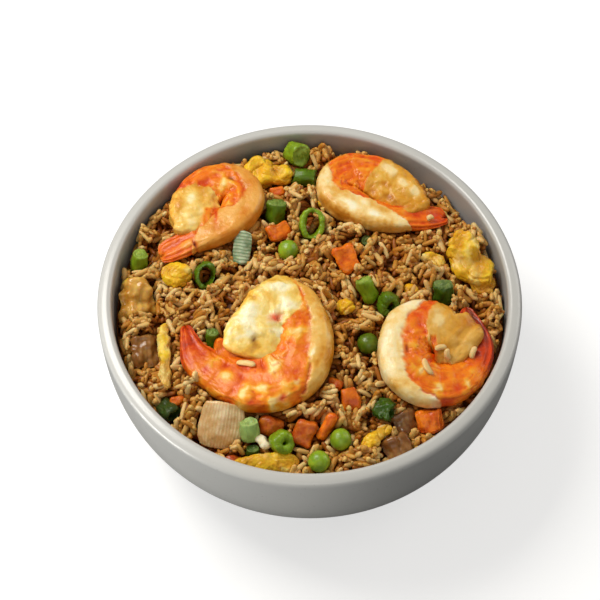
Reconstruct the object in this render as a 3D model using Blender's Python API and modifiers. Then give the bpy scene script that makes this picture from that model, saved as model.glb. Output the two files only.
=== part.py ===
"""Prawn fried rice in a round stoneware bowl.

A straight-sided bowl on a foot ring is filled with one low heap of rice. Four curled prawns lie
on the heap, and peas, spring onion, carrot, egg and onion are bedded in it.
Run with: blender --background --python part.py
Sizes in the tables are millimetres, angles are degrees, and the objects are built in metres,
+Z up, with the origin at the centre of the foot ring's underside. +X is right, -Y is the front.
"""

import math

import bmesh
import bpy
from mathutils import Matrix, Vector, noise

MM = 0.001

# ---------------------------------------------------------------- driving dimensions (mm)
RIM_RADIUS = 82.5
BOWL_HEIGHT = 64.4
RIM_WALL = 5.6
BODY_BASE_RADIUS = 37.0
FOOT_HEIGHT = 3.0
FOOT_RADIUS = 36.5
FOOT_WIDTH = 4.5
FLOOR_LEVEL = 9.0
INNER_BASE_RADIUS = 30.0
SIDE_POWER = 2.9
SIDE_ROOT = 2.75
TURN_STEPS = 32

WALL_GAP = 0.4
CUT_GAP = 0.45
WELL_ABOVE = 6.0
HEAP_EDGE_LEVEL = 53.5
HEAP_RISE = 6.5
HEAP_RADIUS = 75.0
HEAP_RELIEF = 1.3
RELIEF_LENGTH = 15.0
HEAP_RINGS = 7

# ---------------------------------------------------------------- prawns
# Each one is a body that bends as it goes, down to its tail.
# x, y: head end. length: along the middle. bends: the way it points at each of BEND_SHARES.
# back, belly: half depths on the outer and the inner side. thick: half thickness.
# head: how full the head end is. lift: middle above the heap. sink: how much lower the tail lies.
# late: how far along its bends the body starts, on one whose head end is cut short.
BEND_SHARES = (0.0, 0.15, 0.35, 0.55, 0.75, 0.9, 1.0)
PRAWNS = {
    "prawn_back_left": dict(
        x=-49.6, y=32.6, length=90.0, bends=(100, 70, -6, -112, -156, -156, -160),
        back=7.6, belly=10.6, thick=5.2, head=0.82, lift=6.6, sink=2.0,
    ),
    "prawn_back_right": dict(
        x=44.0, y=44.6, length=100.0, bends=(115, 143, 193, 320, 355, 370, 380),
        back=7.2, belly=11.2, thick=5.2, head=0.7, lift=5.4, sink=2.0,
    ),
    "prawn_middle": dict(
        x=-26.4, y=-19.8, length=110.5, bends=(67, 67, -64, -124, -201, -226, -258),
        back=12.0, belly=13.6, thick=7.2, head=0.7, lift=6.2, sink=3.0, late=0.075,
    ),
    "prawn_right": dict(
        x=61.2, y=-17.0, length=93.5, bends=(142, 174, 256, 331, 401, 440, 470),
        back=9.4, belly=15.0, thick=5.8, head=0.78, lift=5.3, sink=1.5,
    ),
}
PRAWN_STATIONS = 15
PRAWN_SIDES = 8
BEND_SOFTNESS = 0.05
TIGHTEST = 0.7
# share of the length: depth and thickness there, as shares of the fullest
PRAWN_FORM = (
    (0.00, 0.80, 0.70),
    (0.04, 1.00, 0.90),
    (0.16, 1.00, 1.00),
    (0.34, 1.00, 0.97),
    (0.55, 0.86, 0.86),
    (0.72, 0.66, 0.72),
    (0.84, 0.46, 0.55),
    (0.90, 0.48, 0.38),
    (0.96, 0.40, 0.22),
    (1.00, 0.14, 0.12),
)
HEAD_RUN = 0.25

# ---------------------------------------------------------------- small toppings
# x, y: centre on plan. lift: centre above the heap. turn: rotations about X, Y, then Z.
PEA_RADIUS = 4.1
PEAS = {
    "pea_centre": (-8.5, 21.0, 2.8),
    "pea_front_right": (11.5, -60.5, 2.6),
    "pea_front": (3.5, -69.3, 3.0),
    "pea_back": (-22.4, 67.8, -1.6),
    "pea_sunk": (22.5, -19.8, 0.2),
}

# across and tall: outer sizes of the tube. wall: leaf thickness. length: cut length.
SPRING_ONIONS = {
    "spring_onion_ring": dict(at=(1.0, 32.5, 3.2), across=9.8, tall=13.0, wall=1.7, length=4.0, turn=(32, 6, 0)),
    "spring_onion_back": dict(at=(-5.4, 70.0, 5.0), across=9.0, tall=9.4, wall=1.7, length=8.0, turn=(62, 0, 38)),
    "spring_onion_behind": dict(at=(-2.0, 60.0, 1.2), across=7.0, tall=7.0, wall=1.5, length=9.6, turn=(88, 0, 82)),
    "spring_onion_by_prawn": dict(at=(-13.8, 41.0, 1.8), across=7.8, tall=7.0, wall=1.5, length=9.0, turn=(-28, 8, 0)),
    "spring_onion_loop": dict(at=(-41.3, 11.0, 1.6), across=8.0, tall=10.0, wall=1.0, length=5.5, turn=(38, 24, 0)),
    "spring_onion_curl": dict(at=(-37.2, -17.6, 0.6), across=5.0, tall=5.0, wall=1.2, length=8.5, turn=(-16, 0, 0)),
    "spring_onion_light": dict(at=(22.4, 2.6, 3.4), across=6.8, tall=6.4, wall=1.4, length=10.0, turn=(-24, -18, 0)),
    "spring_onion_dark": dict(at=(30.8, -3.4, 2.4), across=8.4, tall=9.2, wall=1.6, length=6.6, turn=(52, 14, 0)),
    "spring_onion_upright": dict(at=(52.2, 3.2, 2.6), across=7.4, tall=6.6, wall=1.4, length=8.5, turn=(-20, 0, 0)),
    "spring_onion_small": dict(at=(22.6, 27.6, 0.4), across=4.2, tall=4.2, wall=1.0, length=4.6, turn=(30, 0, 0)),
    "spring_onion_crumpled": dict(at=(27.8, -48.0, 1.8), across=8.4, tall=5.6, wall=1.4, length=7.4, turn=(76, 0, 62)),
    "spring_onion_frosty": dict(at=(-22.6, -56.6, 2.2), across=7.4, tall=7.0, wall=1.5, length=8.2, turn=(-30, 0, 8)),
    "spring_onion_shaded": dict(at=(-21.4, -63.4, -1.2), across=4.8, tall=4.4, wall=1.1, length=4.6, turn=(-16, 0, 0)),
    "spring_onion_bright": dict(at=(-10.4, -61.8, 3.6), across=8.8, tall=8.4, wall=2.3, length=8.6, turn=(44, 0, 34)),
    "spring_onion_left": dict(at=(-53.4, -46.4, 0.6), across=7.2, tall=6.4, wall=1.4, length=8.0, turn=(70, 0, 40)),
    "spring_onion_edge": dict(at=(-67.6, 19.4, 2.6), across=6.4, tall=6.0, wall=1.4, length=8.0, turn=(-14, 12, 0)),
}

# long, wide, thick: size of the cut piece.
CARROTS = {
    "carrot_centre": dict(at=(14.6, 17.2, 2.4), size=(8.6, 10.4, 5.0), turn=(34, -8, 24)),
    "carrot_back": dict(at=(-12.3, 31.4, 0.8), size=(9.6, 6.6, 4.4), turn=(24, 10, 30)),
    "carrot_far": dict(at=(-13.4, 52.8, 0.6), size=(6.6, 4.2, 3.2), turn=(30, 0, 12)),
    "carrot_curl": dict(at=(-29.8, -24.2, 1.0), size=(11.2, 4.4, 5.2), turn=(28, 4, -12)),
    "carrot_front_left": dict(at=(-14.0, -54.0, -1.2), size=(8.4, 6.0, 5.0), turn=(30, 0, -8)),
    "carrot_front": dict(at=(-2.0, -57.0, 1.0), size=(6.8, 9.0, 5.0), turn=(36, 8, -18)),
    "carrot_slice": dict(at=(6.2, -55.4, 1.6), size=(3.0, 11.4, 5.4), turn=(30, 0, -34)),
    "carrot_middle": dict(at=(15.2, -43.2, 0.2), size=(6.4, 9.0, 5.0), turn=(26, 0, 12)),
    "carrot_ribbed": dict(at=(45.6, -51.4, 0.2), size=(9.6, 8.4, 5.2), turn=(28, -6, 8)),
    "carrot_edge": dict(at=(-27.8, -66.2, -2.8), size=(8.6, 4.2, 3.8), turn=(34, 6, -14)),
}
CARROT_BEVEL = 0.9

# size of the scrambled lump, how lumpy it is, and how finely it is faceted
EGGS = {
    "egg_back": dict(at=(-17.2, 60.6, 3.0), size=(19.0, 10.5, 7.6), turn=(24, 4, -14), lumps=0.24, detail=2),
    "egg_right": dict(at=(64.4, 16.6, 4.4), size=(15.0, 27.0, 9.0), turn=(20, -14, 28), lumps=0.26, detail=2),
    "egg_left": dict(at=(-53.0, 11.0, 2.2), size=(12.0, 8.8, 6.4), turn=(26, 0, -8), lumps=0.26, detail=2),
    "egg_strip_left": dict(at=(-55.4, -24.6, 2.6), size=(4.8, 28.0, 4.4), turn=(6, 10, 4), lumps=0.14, detail=2),
    "egg_strip_front": dict(at=(-15.6, -69.0, 1.6), size=(25.0, 6.0, 5.0), turn=(28, 2, 4), lumps=0.18, detail=2),
    "egg_sliver": dict(at=(24.6, -58.6, 1.4), size=(15.0, 5.0, 3.8), turn=(26, 0, 46), lumps=0.2, detail=2),
    "egg_small": dict(at=(13.6, -4.2, 0.4), size=(7.6, 5.2, 3.4), turn=(24, 0, -24), lumps=0.2, detail=2),
    "egg_tan": dict(at=(48.0, 18.2, 1.0), size=(9.0, 7.0, 4.4), turn=(24, 0, 12), lumps=0.24, detail=2),
    "egg_crumb": dict(at=(39.8, 4.4, 0.6), size=(5.4, 4.6, 3.4), turn=(20, 0, 0), lumps=0.22, detail=2),
}

# wide, long: outline of the cut petal. thick: leaf thickness. bow: how far it bends out of flat.
ONIONS = {
    "onion_petal": dict(at=(-35.2, -56.4, 2.4), size=(14.4, 17.0), thick=2.6, bow=2.4, turn=(44, 10, -6)),
    "onion_golden": dict(at=(-68.0, 2.4, 1.0), size=(13.0, 16.0), thick=4.4, bow=2.8, turn=(22, 14, 10)),
    "onion_brown": dict(at=(-63.8, -21.0, -0.2), size=(10.0, 12.0), thick=3.4, bow=1.6, turn=(24, 10, 12)),
    "onion_sunk": dict(at=(35.9, -51.4, -1.6), size=(7.6, 7.4), thick=2.6, bow=1.2, turn=(30, 0, 24)),
    "onion_front": dict(at=(32.6, -62.0, -0.4), size=(10.0, 8.0), thick=2.8, bow=1.4, turn=(26, 0, 30)),
    "onion_ribbed": dict(at=(-25.2, 21.6, 0.8), size=(7.4, 13.4), thick=1.8, bow=1.2, turn=(36, 10, -6)),
}


# ---------------------------------------------------------------- shared helpers
def clear_scene():
    for old in list(bpy.data.objects):
        bpy.data.objects.remove(old, do_unlink=True)


def new_collection(name):
    made = bpy.data.collections.new(name)
    bpy.context.scene.collection.children.link(made)
    return made


def finish_material(name, colour, roughness):
    made = bpy.data.materials.new(name)
    made.use_nodes = True
    shader = made.node_tree.nodes["Principled BSDF"]
    shader.inputs["Base Color"].default_value = (*colour, 1.0)
    shader.inputs["Roughness"].default_value = roughness
    shader.inputs["Metallic"].default_value = 0.0
    return made


def add_piece(name, mesh, collection, finish=None):
    """A new object of this mesh, in metres, in the given collection."""
    piece = bpy.data.objects.new(name, mesh)
    collection.objects.link(piece)
    if finish is not None:
        mesh.materials.append(finish)
    return piece


def mesh_from(shape, name):
    """A mesh from a bmesh in millimetres, with its faces pointing out."""
    bmesh.ops.recalc_face_normals(shape, faces=shape.faces)
    bmesh.ops.scale(shape, vec=Vector((MM, MM, MM)), verts=shape.verts)
    mesh = bpy.data.meshes.new(name)
    shape.to_mesh(mesh)
    shape.free()
    return mesh


def stand(piece, at, turn):
    """Places a piece by its centre above the heap and its turns about X, Y, then Z."""
    x, y, lift = at
    turns = [Matrix.Rotation(math.radians(angle), 4, axis) for angle, axis in zip(turn, "XYZ")]
    place = Matrix.Translation(Vector((x, y, heap_level(x, y) + lift)) * MM)
    piece.matrix_world = place @ turns[2] @ turns[1] @ turns[0]


def along(stations, share):
    """Reads a row of stations at a share of the length, in straight steps."""
    for low, high in zip(stations, stations[1:]):
        if share <= high[0]:
            part = (share - low[0]) / (high[0] - low[0])
            return [a + (b - a) * part for a, b in zip(low[1:], high[1:])]
    return list(stations[-1][1:])


# ---------------------------------------------------------------- bowl
def side_radius(level, base_level, base_radius, rim_radius):
    """Radius of a round-bottomed, straight-sided wall at a level."""
    drop = (BOWL_HEIGHT - level) / (BOWL_HEIGHT - base_level)
    swell = max(0.0, 1.0 - drop**SIDE_POWER) ** (1.0 / SIDE_ROOT)
    return base_radius + (rim_radius - base_radius) * swell


def wall_line(base_level, base_radius, rim_radius, top_level, count):
    """Points (radius, level) up a wall, closer together where it turns near its base."""
    points = []
    for i in range(count + 1):
        level = base_level + (top_level - base_level) * (i / count) ** 2.2
        points.append((side_radius(level, base_level, base_radius, rim_radius), level))
    return points


def turned(name, line, collection, finish):
    """A solid turned about Z from a line of (radius, level) points that ends on the axis."""
    mesh = bpy.data.meshes.new(name)
    points = [(radius * MM, 0.0, level * MM) for radius, level in line]
    mesh.from_pydata(points, [(i, i + 1) for i in range(len(points) - 1)], [])
    piece = add_piece(name, mesh, collection, finish)
    screw = piece.modifiers.new("turn", "SCREW")
    screw.steps = TURN_STEPS
    screw.render_steps = TURN_STEPS
    screw.use_merge_vertices = True
    screw.merge_threshold = 0.00001
    screw.use_smooth_shade = True
    return piece


def bowl(collection):
    rim_round = RIM_WALL / 2
    lip_level = BOWL_HEIGHT - rim_round
    inner_rim = RIM_RADIUS - RIM_WALL
    line = [(0.0, FLOOR_LEVEL)]
    line += wall_line(FLOOR_LEVEL, INNER_BASE_RADIUS, inner_rim, lip_level, 6)
    for step in range(1, 5):
        angle = math.radians(180 - 36 * step)
        middle = RIM_RADIUS - rim_round
        line.append((middle + rim_round * math.cos(angle), lip_level + rim_round * math.sin(angle)))
    line += reversed(wall_line(FOOT_HEIGHT, BODY_BASE_RADIUS, RIM_RADIUS, lip_level, 7))
    line += [
        (FOOT_RADIUS, 0.0),
        (FOOT_RADIUS - FOOT_WIDTH, 0.0),
        (FOOT_RADIUS - FOOT_WIDTH - 1.0, FOOT_HEIGHT),
        (0.0, FOOT_HEIGHT),
    ]
    return turned("bowl", line, collection, finish_material("glazed stoneware", (0.56, 0.56, 0.54), 0.32))


# ---------------------------------------------------------------- rice heap
def heap_level(x, y):
    """Height of the heap's smooth outline at a place."""
    return HEAP_EDGE_LEVEL + HEAP_RISE * (1.0 - (math.hypot(x, y) / HEAP_RADIUS) ** 2)


def heap_relief(x, y):
    """Lumps and hollows on the heap."""
    broad = noise.noise(Vector((x, y, 3.0)) / RELIEF_LENGTH)
    fine = noise.noise(Vector((x, y, 40.0)) / (RELIEF_LENGTH * 0.45))
    return HEAP_RELIEF * (broad * 1.5 + fine * 0.7)


def rice(collection):
    inner_rim = RIM_RADIUS - RIM_WALL
    wall = wall_line(FLOOR_LEVEL, INNER_BASE_RADIUS, inner_rim, HEAP_EDGE_LEVEL, 6)
    edge = wall[-1][0] - WALL_GAP
    line = [(edge * i / HEAP_RINGS, heap_level(edge * i / HEAP_RINGS, 0.0)) for i in range(HEAP_RINGS)]
    line += [(radius - WALL_GAP, level + WALL_GAP) for radius, level in reversed(wall)]
    line.append((0.0, FLOOR_LEVEL + WALL_GAP))
    blank = turned("rice blank", line, collection, None)
    shape = bmesh.new()
    shape.from_mesh(blank.evaluated_get(bpy.context.evaluated_depsgraph_get()).to_mesh())
    bpy.data.objects.remove(blank, do_unlink=True)
    bmesh.ops.scale(shape, vec=Vector((1, 1, 1)) / MM, verts=shape.verts)
    bmesh.ops.triangulate(shape, faces=shape.faces)
    top = HEAP_EDGE_LEVEL - 2.0
    for point in shape.verts:
        if point.co.z > top:
            point.co.z += heap_relief(point.co.x, point.co.y)
    finish = finish_material("fried rice", (0.50, 0.27, 0.09), 0.45)
    return add_piece("rice", mesh_from(shape, "rice"), collection, finish)


def grown(shape):
    """The shape of a topping with the cutting gap added all round it."""
    shape.normal_update()
    moves = [(point, point.normal * point.calc_shell_factor()) for point in shape.verts]
    for point, way in moves:
        point.co += way * CUT_GAP * MM
    return shape


def well(shape, heading):
    """An upright eight-sided well round a topping, from just below it to clear above it."""
    gap = CUT_GAP * MM
    ways = [heading + k * math.pi / 4 for k in range(8)]
    places = [point.co.copy() for point in shape.verts]
    reach = [max(p.x * math.cos(way) + p.y * math.sin(way) for p in places) + gap for way in ways]
    low = min(p.z for p in places) - gap
    high = max(p.z for p in places) + WELL_ABOVE * MM
    shape.clear()
    for k, way in enumerate(ways):
        after = (k + 1) % 8
        aside = (reach[after] - reach[k] * math.cos(math.pi / 4)) / math.sin(math.pi / 4)
        x = reach[k] * math.cos(way) - aside * math.sin(way)
        y = reach[k] * math.sin(way) + aside * math.cos(way)
        shape.verts.new((x, y, low))
        shape.verts.new((x, y, high))
    bmesh.ops.remove_doubles(shape, verts=shape.verts, dist=0.0001)
    bmesh.ops.convex_hull(shape, input=shape.verts)
    bmesh.ops.recalc_face_normals(shape, faces=shape.faces)
    return shape


def bed(heap, toppings, cutters):
    """Cuts a place in the heap for each topping."""
    graph = bpy.context.evaluated_depsgraph_get()
    for topping in toppings:
        shape = bmesh.new()
        shape.from_mesh(topping.evaluated_get(graph).to_mesh())
        shape.transform(topping.matrix_world)
        if topping.name in PRAWNS:
            grown(shape)
        else:
            well(shape, topping.matrix_world.to_euler().z)
        mesh = bpy.data.meshes.new("place for " + topping.name)
        shape.to_mesh(mesh)
        shape.free()
        cutter = add_piece("place for " + topping.name, mesh, cutters)
        cutter.hide_render = True
        cutter.display_type = "WIRE"
    cut = heap.modifiers.new("places for toppings", "BOOLEAN")
    cut.operation = "DIFFERENCE"
    cut.operand_type = "COLLECTION"
    cut.collection = cutters
    cut.solver = "EXACT"


# ---------------------------------------------------------------- prawns
def prawn_way(form, share):
    """The way a prawn's body points at a share of its length, in degrees, with soft changes."""
    bends = tuple(zip(BEND_SHARES, form["bends"]))
    late = form.get("late", 0.0)
    steps = [late + (1.0 - late) * share + BEND_SOFTNESS * (i - 2) / 2 for i in range(5)]
    return sum(along(bends, min(1.0, max(0.0, step)))[0] for step in steps) / len(steps)


def prawn_spine(form):
    """Stations (x, y, way in radians, share) along the middle of a prawn."""
    fine = 8
    steps = PRAWN_STATIONS * fine
    x, y = form["x"], form["y"]
    stations = [(x, y, math.radians(prawn_way(form, 0.0)), 0.0)]
    for i in range(steps):
        way = math.radians(prawn_way(form, (i + 0.5) / steps))
        x += math.cos(way) * form["length"] / steps
        y += math.sin(way) * form["length"] / steps
        if (i + 1) % fine == 0:
            share = (i + 1) / steps
            stations.append((x, y, math.radians(prawn_way(form, share)), share))
    return stations


def curl_radius(form, share):
    """Radius of the body's curl at a share of its length."""
    reach = 0.05
    low, high = max(0.0, share - reach), min(1.0, share + reach)
    turn = abs(math.radians(prawn_way(form, high) - prawn_way(form, low)))
    return (high - low) * form["length"] / max(turn, 0.01)


def prawn(name, form, collection, finish):
    shape = bmesh.new()
    rings = []
    outward = math.copysign(math.pi / 2, form["bends"][0] - form["bends"][-1])
    for x, y, way, share in prawn_spine(form):
        depth, thick = along(PRAWN_FORM, share)
        depth *= form["head"] + (1.0 - form["head"]) * min(1.0, share / HEAD_RUN)
        back = form["back"] * depth
        belly = min(form["belly"] * depth, TIGHTEST * curl_radius(form, share))
        side = Vector((math.cos(way + outward), math.sin(way + outward), 0.0))
        middle = Vector((x, y, heap_level(x, y) + form["lift"] - form["sink"] * share))
        ring = []
        for k in range(PRAWN_SIDES):
            angle = 2 * math.pi * k / PRAWN_SIDES
            across = math.cos(angle)
            place = middle + side * across * (back if across > 0 else belly)
            place.z += form["thick"] * thick * math.sin(angle)
            ring.append(shape.verts.new(place))
        rings.append(ring)
    for near, far in zip(rings, rings[1:]):
        for k in range(PRAWN_SIDES):
            after = (k + 1) % PRAWN_SIDES
            shape.faces.new((near[k], near[after], far[after], far[k]))
    shape.faces.new(rings[0])
    shape.faces.new(rings[-1])
    return add_piece(name, mesh_from(shape, name), collection, finish)


# ---------------------------------------------------------------- small toppings
def pea(name, place, collection, finish):
    shape = bmesh.new()
    bmesh.ops.create_icosphere(shape, subdivisions=2, radius=PEA_RADIUS)
    piece = add_piece(name, mesh_from(shape, name), collection, finish)
    stand(piece, place, (0, 0, 0))
    return piece


def spring_onion(name, form, collection, finish):
    shape = bmesh.new()
    bmesh.ops.create_cone(
        shape, cap_ends=False, segments=10, radius1=0.5, radius2=0.5, depth=1.0
    )
    bmesh.ops.scale(shape, vec=Vector((form["across"], form["tall"], form["length"])), verts=shape.verts)
    piece = add_piece(name, mesh_from(shape, name), collection, finish)
    leaf = piece.modifiers.new("leaf", "SOLIDIFY")
    leaf.thickness = form["wall"] * MM
    leaf.offset = -1.0
    stand(piece, form["at"], form["turn"])
    return piece


def carrot(name, form, collection, finish):
    shape = bmesh.new()
    bmesh.ops.create_cube(shape, size=1.0)
    bmesh.ops.scale(shape, vec=Vector(form["size"]), verts=shape.verts)
    piece = add_piece(name, mesh_from(shape, name), collection, finish)
    edge = piece.modifiers.new("soft edges", "BEVEL")
    edge.width = CARROT_BEVEL * MM
    edge.segments = 1
    stand(piece, form["at"], form["turn"])
    return piece


def egg(name, form, collection, finish):
    shape = bmesh.new()
    bmesh.ops.create_icosphere(shape, subdivisions=form["detail"], radius=0.5)
    seed = Vector((form["at"][0], form["at"][1], 7.0))
    for point in shape.verts:
        swell = noise.noise(point.co * 3.2 + seed) + 0.5 * noise.noise(point.co * 7.0 + seed)
        point.co *= 1.0 + form["lumps"] * swell
    bmesh.ops.scale(shape, vec=Vector(form["size"]), verts=shape.verts)
    piece = add_piece(name, mesh_from(shape, name), collection, finish)
    stand(piece, form["at"], form["turn"])
    return piece


def onion(name, form, collection, finish):
    shape = bmesh.new()
    bmesh.ops.create_grid(shape, x_segments=3, y_segments=3, size=0.5)
    for point in shape.verts:
        across, down = point.co.x * 2, point.co.y * 2
        narrow = 1.0 - 0.14 * down * down
        point.co = Vector(
            (
                point.co.x * form["size"][0] * narrow,
                point.co.y * form["size"][1],
                form["bow"] * (0.5 - across * across) - 0.4 * form["bow"] * down * down,
            )
        )
    piece = add_piece(name, mesh_from(shape, name), collection, finish)
    leaf = piece.modifiers.new("leaf", "SOLIDIFY")
    leaf.thickness = form["thick"] * MM
    leaf.offset = 0.0
    stand(piece, form["at"], form["turn"])
    return piece


# ---------------------------------------------------------------- the whole dish
def build():
    clear_scene()
    dish = new_collection("fried_rice")
    cutters = new_collection("cutters")
    bowl(dish)
    heap = rice(dish)
    toppings = []
    finish = finish_material("cooked prawn", (0.86, 0.30, 0.10), 0.35)
    toppings += [prawn(name, form, dish, finish) for name, form in PRAWNS.items()]
    finish = finish_material("green pea", (0.22, 0.42, 0.04), 0.35)
    toppings += [pea(name, place, dish, finish) for name, place in PEAS.items()]
    finish = finish_material("spring onion leaf", (0.08, 0.27, 0.03), 0.38)
    toppings += [spring_onion(name, form, dish, finish) for name, form in SPRING_ONIONS.items()]
    finish = finish_material("cooked carrot", (0.82, 0.20, 0.02), 0.4)
    toppings += [carrot(name, form, dish, finish) for name, form in CARROTS.items()]
    finish = finish_material("scrambled egg", (0.83, 0.55, 0.10), 0.5)
    toppings += [egg(name, form, dish, finish) for name, form in EGGS.items()]
    finish = finish_material("fried onion", (0.58, 0.38, 0.20), 0.4)
    toppings += [onion(name, form, dish, finish) for name, form in ONIONS.items()]
    bpy.context.view_layer.update()
    bed(heap, toppings, cutters)


build()
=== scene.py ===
import math

import bpy
import numpy as np
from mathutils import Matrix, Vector, noise
from mathutils.bvhtree import BVHTree


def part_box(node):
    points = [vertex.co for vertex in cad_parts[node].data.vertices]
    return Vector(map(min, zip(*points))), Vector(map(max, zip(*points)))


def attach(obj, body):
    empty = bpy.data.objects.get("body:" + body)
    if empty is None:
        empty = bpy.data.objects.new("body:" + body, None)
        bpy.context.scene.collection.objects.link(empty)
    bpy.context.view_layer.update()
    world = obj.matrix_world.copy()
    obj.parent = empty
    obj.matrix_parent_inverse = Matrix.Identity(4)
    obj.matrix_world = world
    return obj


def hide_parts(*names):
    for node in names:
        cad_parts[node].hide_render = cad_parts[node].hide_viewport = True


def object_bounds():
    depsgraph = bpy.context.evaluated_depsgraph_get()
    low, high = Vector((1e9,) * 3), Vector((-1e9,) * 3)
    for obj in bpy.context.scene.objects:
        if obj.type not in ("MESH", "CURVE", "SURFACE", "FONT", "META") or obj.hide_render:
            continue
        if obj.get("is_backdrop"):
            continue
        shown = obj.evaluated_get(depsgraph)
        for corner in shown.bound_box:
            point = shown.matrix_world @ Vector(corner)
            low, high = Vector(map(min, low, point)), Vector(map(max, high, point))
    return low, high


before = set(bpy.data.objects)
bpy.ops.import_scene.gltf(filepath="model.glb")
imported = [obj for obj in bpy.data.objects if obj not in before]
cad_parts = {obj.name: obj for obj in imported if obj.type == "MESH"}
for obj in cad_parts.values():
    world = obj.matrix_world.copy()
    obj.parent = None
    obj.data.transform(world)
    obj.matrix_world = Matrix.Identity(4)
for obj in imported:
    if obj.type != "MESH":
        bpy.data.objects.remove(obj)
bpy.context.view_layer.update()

MM = 0.001

# ---------------------------------------------------------------- table and light
# The bowl stands on a pale table in soft daylight: a broad window high on the left and a
# little behind, a glow along the table from the left, and faint ones from front and right.
LOOK_DOWN = math.radians(58.39)
LOOK_FROM = 0.7
LIT_POINT = Vector((0, 0, 0.05))
TABLE_SIZE, TABLE_DROP = 7.0, 0.0003
eye = bpy.data.cameras.new("camera")
eye.lens = 108.3
eye.sensor_width = 36.0
eye.shift_x, eye.shift_y = -0.0162, -0.012
camera = bpy.data.objects.new("camera", eye)
camera.location = (0, -LOOK_FROM * math.cos(LOOK_DOWN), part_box("bowl")[1].z + LOOK_FROM * math.sin(LOOK_DOWN))
camera.rotation_euler = (math.pi / 2 - LOOK_DOWN, 0, 0)
bpy.context.scene.collection.objects.link(camera)
bpy.context.scene.camera = camera
bpy.context.scene.view_settings.view_transform = "Standard"

sky = bpy.data.worlds.new("daylight")
sky.use_nodes = True
sky.node_tree.nodes["Background"].inputs["Color"].default_value = (1.0, 0.98, 0.94, 1)
sky.node_tree.nodes["Background"].inputs["Strength"].default_value = 0.24
bpy.context.scene.world = sky

# where it stands, how wide and tall it is, and its power
for name, place, width, tall, power in (
    ("window", (-0.47, 0.31, 0.84), 0.46, 0.46, 8.3),
    ("left_glow", (-1.00, -0.50, 0.035), 0.55, 0.05, 9.0),
    ("front_glow", (0.05, -0.95, 0.90), 0.60, 0.60, 2.0),
    ("right_glow", (0.84, 0.42, 0.42), 0.60, 0.60, 2.8),
):
    lamp = bpy.data.lights.new(name, "AREA")
    lamp.shape = "RECTANGLE"
    lamp.size, lamp.size_y = width, tall
    lamp.energy = power
    lamp.color = (1.0, 0.975, 0.92)
    stand = bpy.data.objects.new(name, lamp)
    stand.location = place
    stand.rotation_euler = (LIT_POINT - Vector(place)).to_track_quat("-Z", "Y").to_euler()
    bpy.context.scene.collection.objects.link(stand)


def start(name, make, **how):
    """A new primitive under this name, alone selected."""
    bpy.ops.object.select_all(action="DESELECT")
    make(**how)
    piece = bpy.context.object
    piece.name = piece.data.name = name
    return piece


def finish_nodes(name, roughness, **sockets):
    """A material with its shader's plain sockets set: (material, node tree, shader)."""
    finish = bpy.data.materials.new(name)
    finish.use_nodes = True
    shader = finish.node_tree.nodes["Principled BSDF"]
    shader.inputs["Roughness"].default_value = roughness
    for socket, value in sockets.items():
        shader.inputs[socket.replace("_", " ")].default_value = value
    return finish, finish.node_tree, shader


def node(tree, kind, links=(), **values):
    """A node with its properties and input values set, and its inputs linked."""
    made = tree.nodes.new(kind)
    for name, value in values.items():
        socket = name.replace("_", " ")
        if socket in made.inputs:
            made.inputs[socket].default_value = value
        else:
            setattr(made, name, value)
    for socket, source in dict(links).items():
        tree.links.new(source, made.inputs[socket])
    return made


def blend(tree, factor, under, over):
    """One colour laid over another by a mask: each a plain colour or a socket."""
    made = node(tree, "ShaderNodeMix", {"Factor": factor}, data_type="RGBA")
    for socket, colour in (("A", under), ("B", over)):
        if isinstance(colour, tuple):
            made.inputs[socket].default_value = (*colour, 1)
        else:
            tree.links.new(colour, made.inputs[socket])
    return made.outputs["Result"]


table_top = start("table_top", bpy.ops.mesh.primitive_plane_add, size=TABLE_SIZE, location=(0, 0, -TABLE_DROP))
paper, tree, shader = finish_nodes("pale_table", 0.85)
seen = node(tree, "ShaderNodeLightPath").outputs["Is Camera Ray"]
tone = blend(tree, seen, (0.16, 0.16, 0.16), (0.55, 0.55, 0.55))
tree.links.new(tone, shader.inputs["Base Color"])
tree.links.new(tone, shader.inputs["Emission Color"])
tree.links.new(seen, shader.inputs["Emission Strength"])
table_top.data.materials.append(paper)
table_top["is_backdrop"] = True

# ---------------------------------------------------------------- bowl
# A straight-sided bowl, thrown in light grey stoneware on a low foot ring and glazed all over
# but for the ring it stands on. The glaze is a little paler where it thins over the lip.
RIM_RADIUS = 82.5
RIM_WALL = 5.6
BOWL_HEIGHT = 64.4
BASE_RADIUS = 37.0
FOOT_HEIGHT = 3.0
FOOT_RADIUS = 36.5
FOOT_WIDTH = 4.5
FLOOR_LEVEL = 9.0
FLOOR_RADIUS = 30.0
INNER_ROUND = 1.9
OUTER_ROUND = 2.6
BOWL_STEPS = 192
JOINED = 0.01


def wall_line(base_level, base_radius, rim_radius, top_level, count):
    """Points (radius, level) in mm up a round-bottomed wall, closer together near its base."""
    points = []
    for i in range(count + 1):
        level = base_level + (top_level - base_level) * (i / count) ** 2.2
        drop = (BOWL_HEIGHT - level) / (BOWL_HEIGHT - base_level)
        swell = max(0.0, 1.0 - drop**2.9) ** (1 / 2.75)
        points.append((base_radius + (rim_radius - base_radius) * swell, level))
    return points


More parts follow.
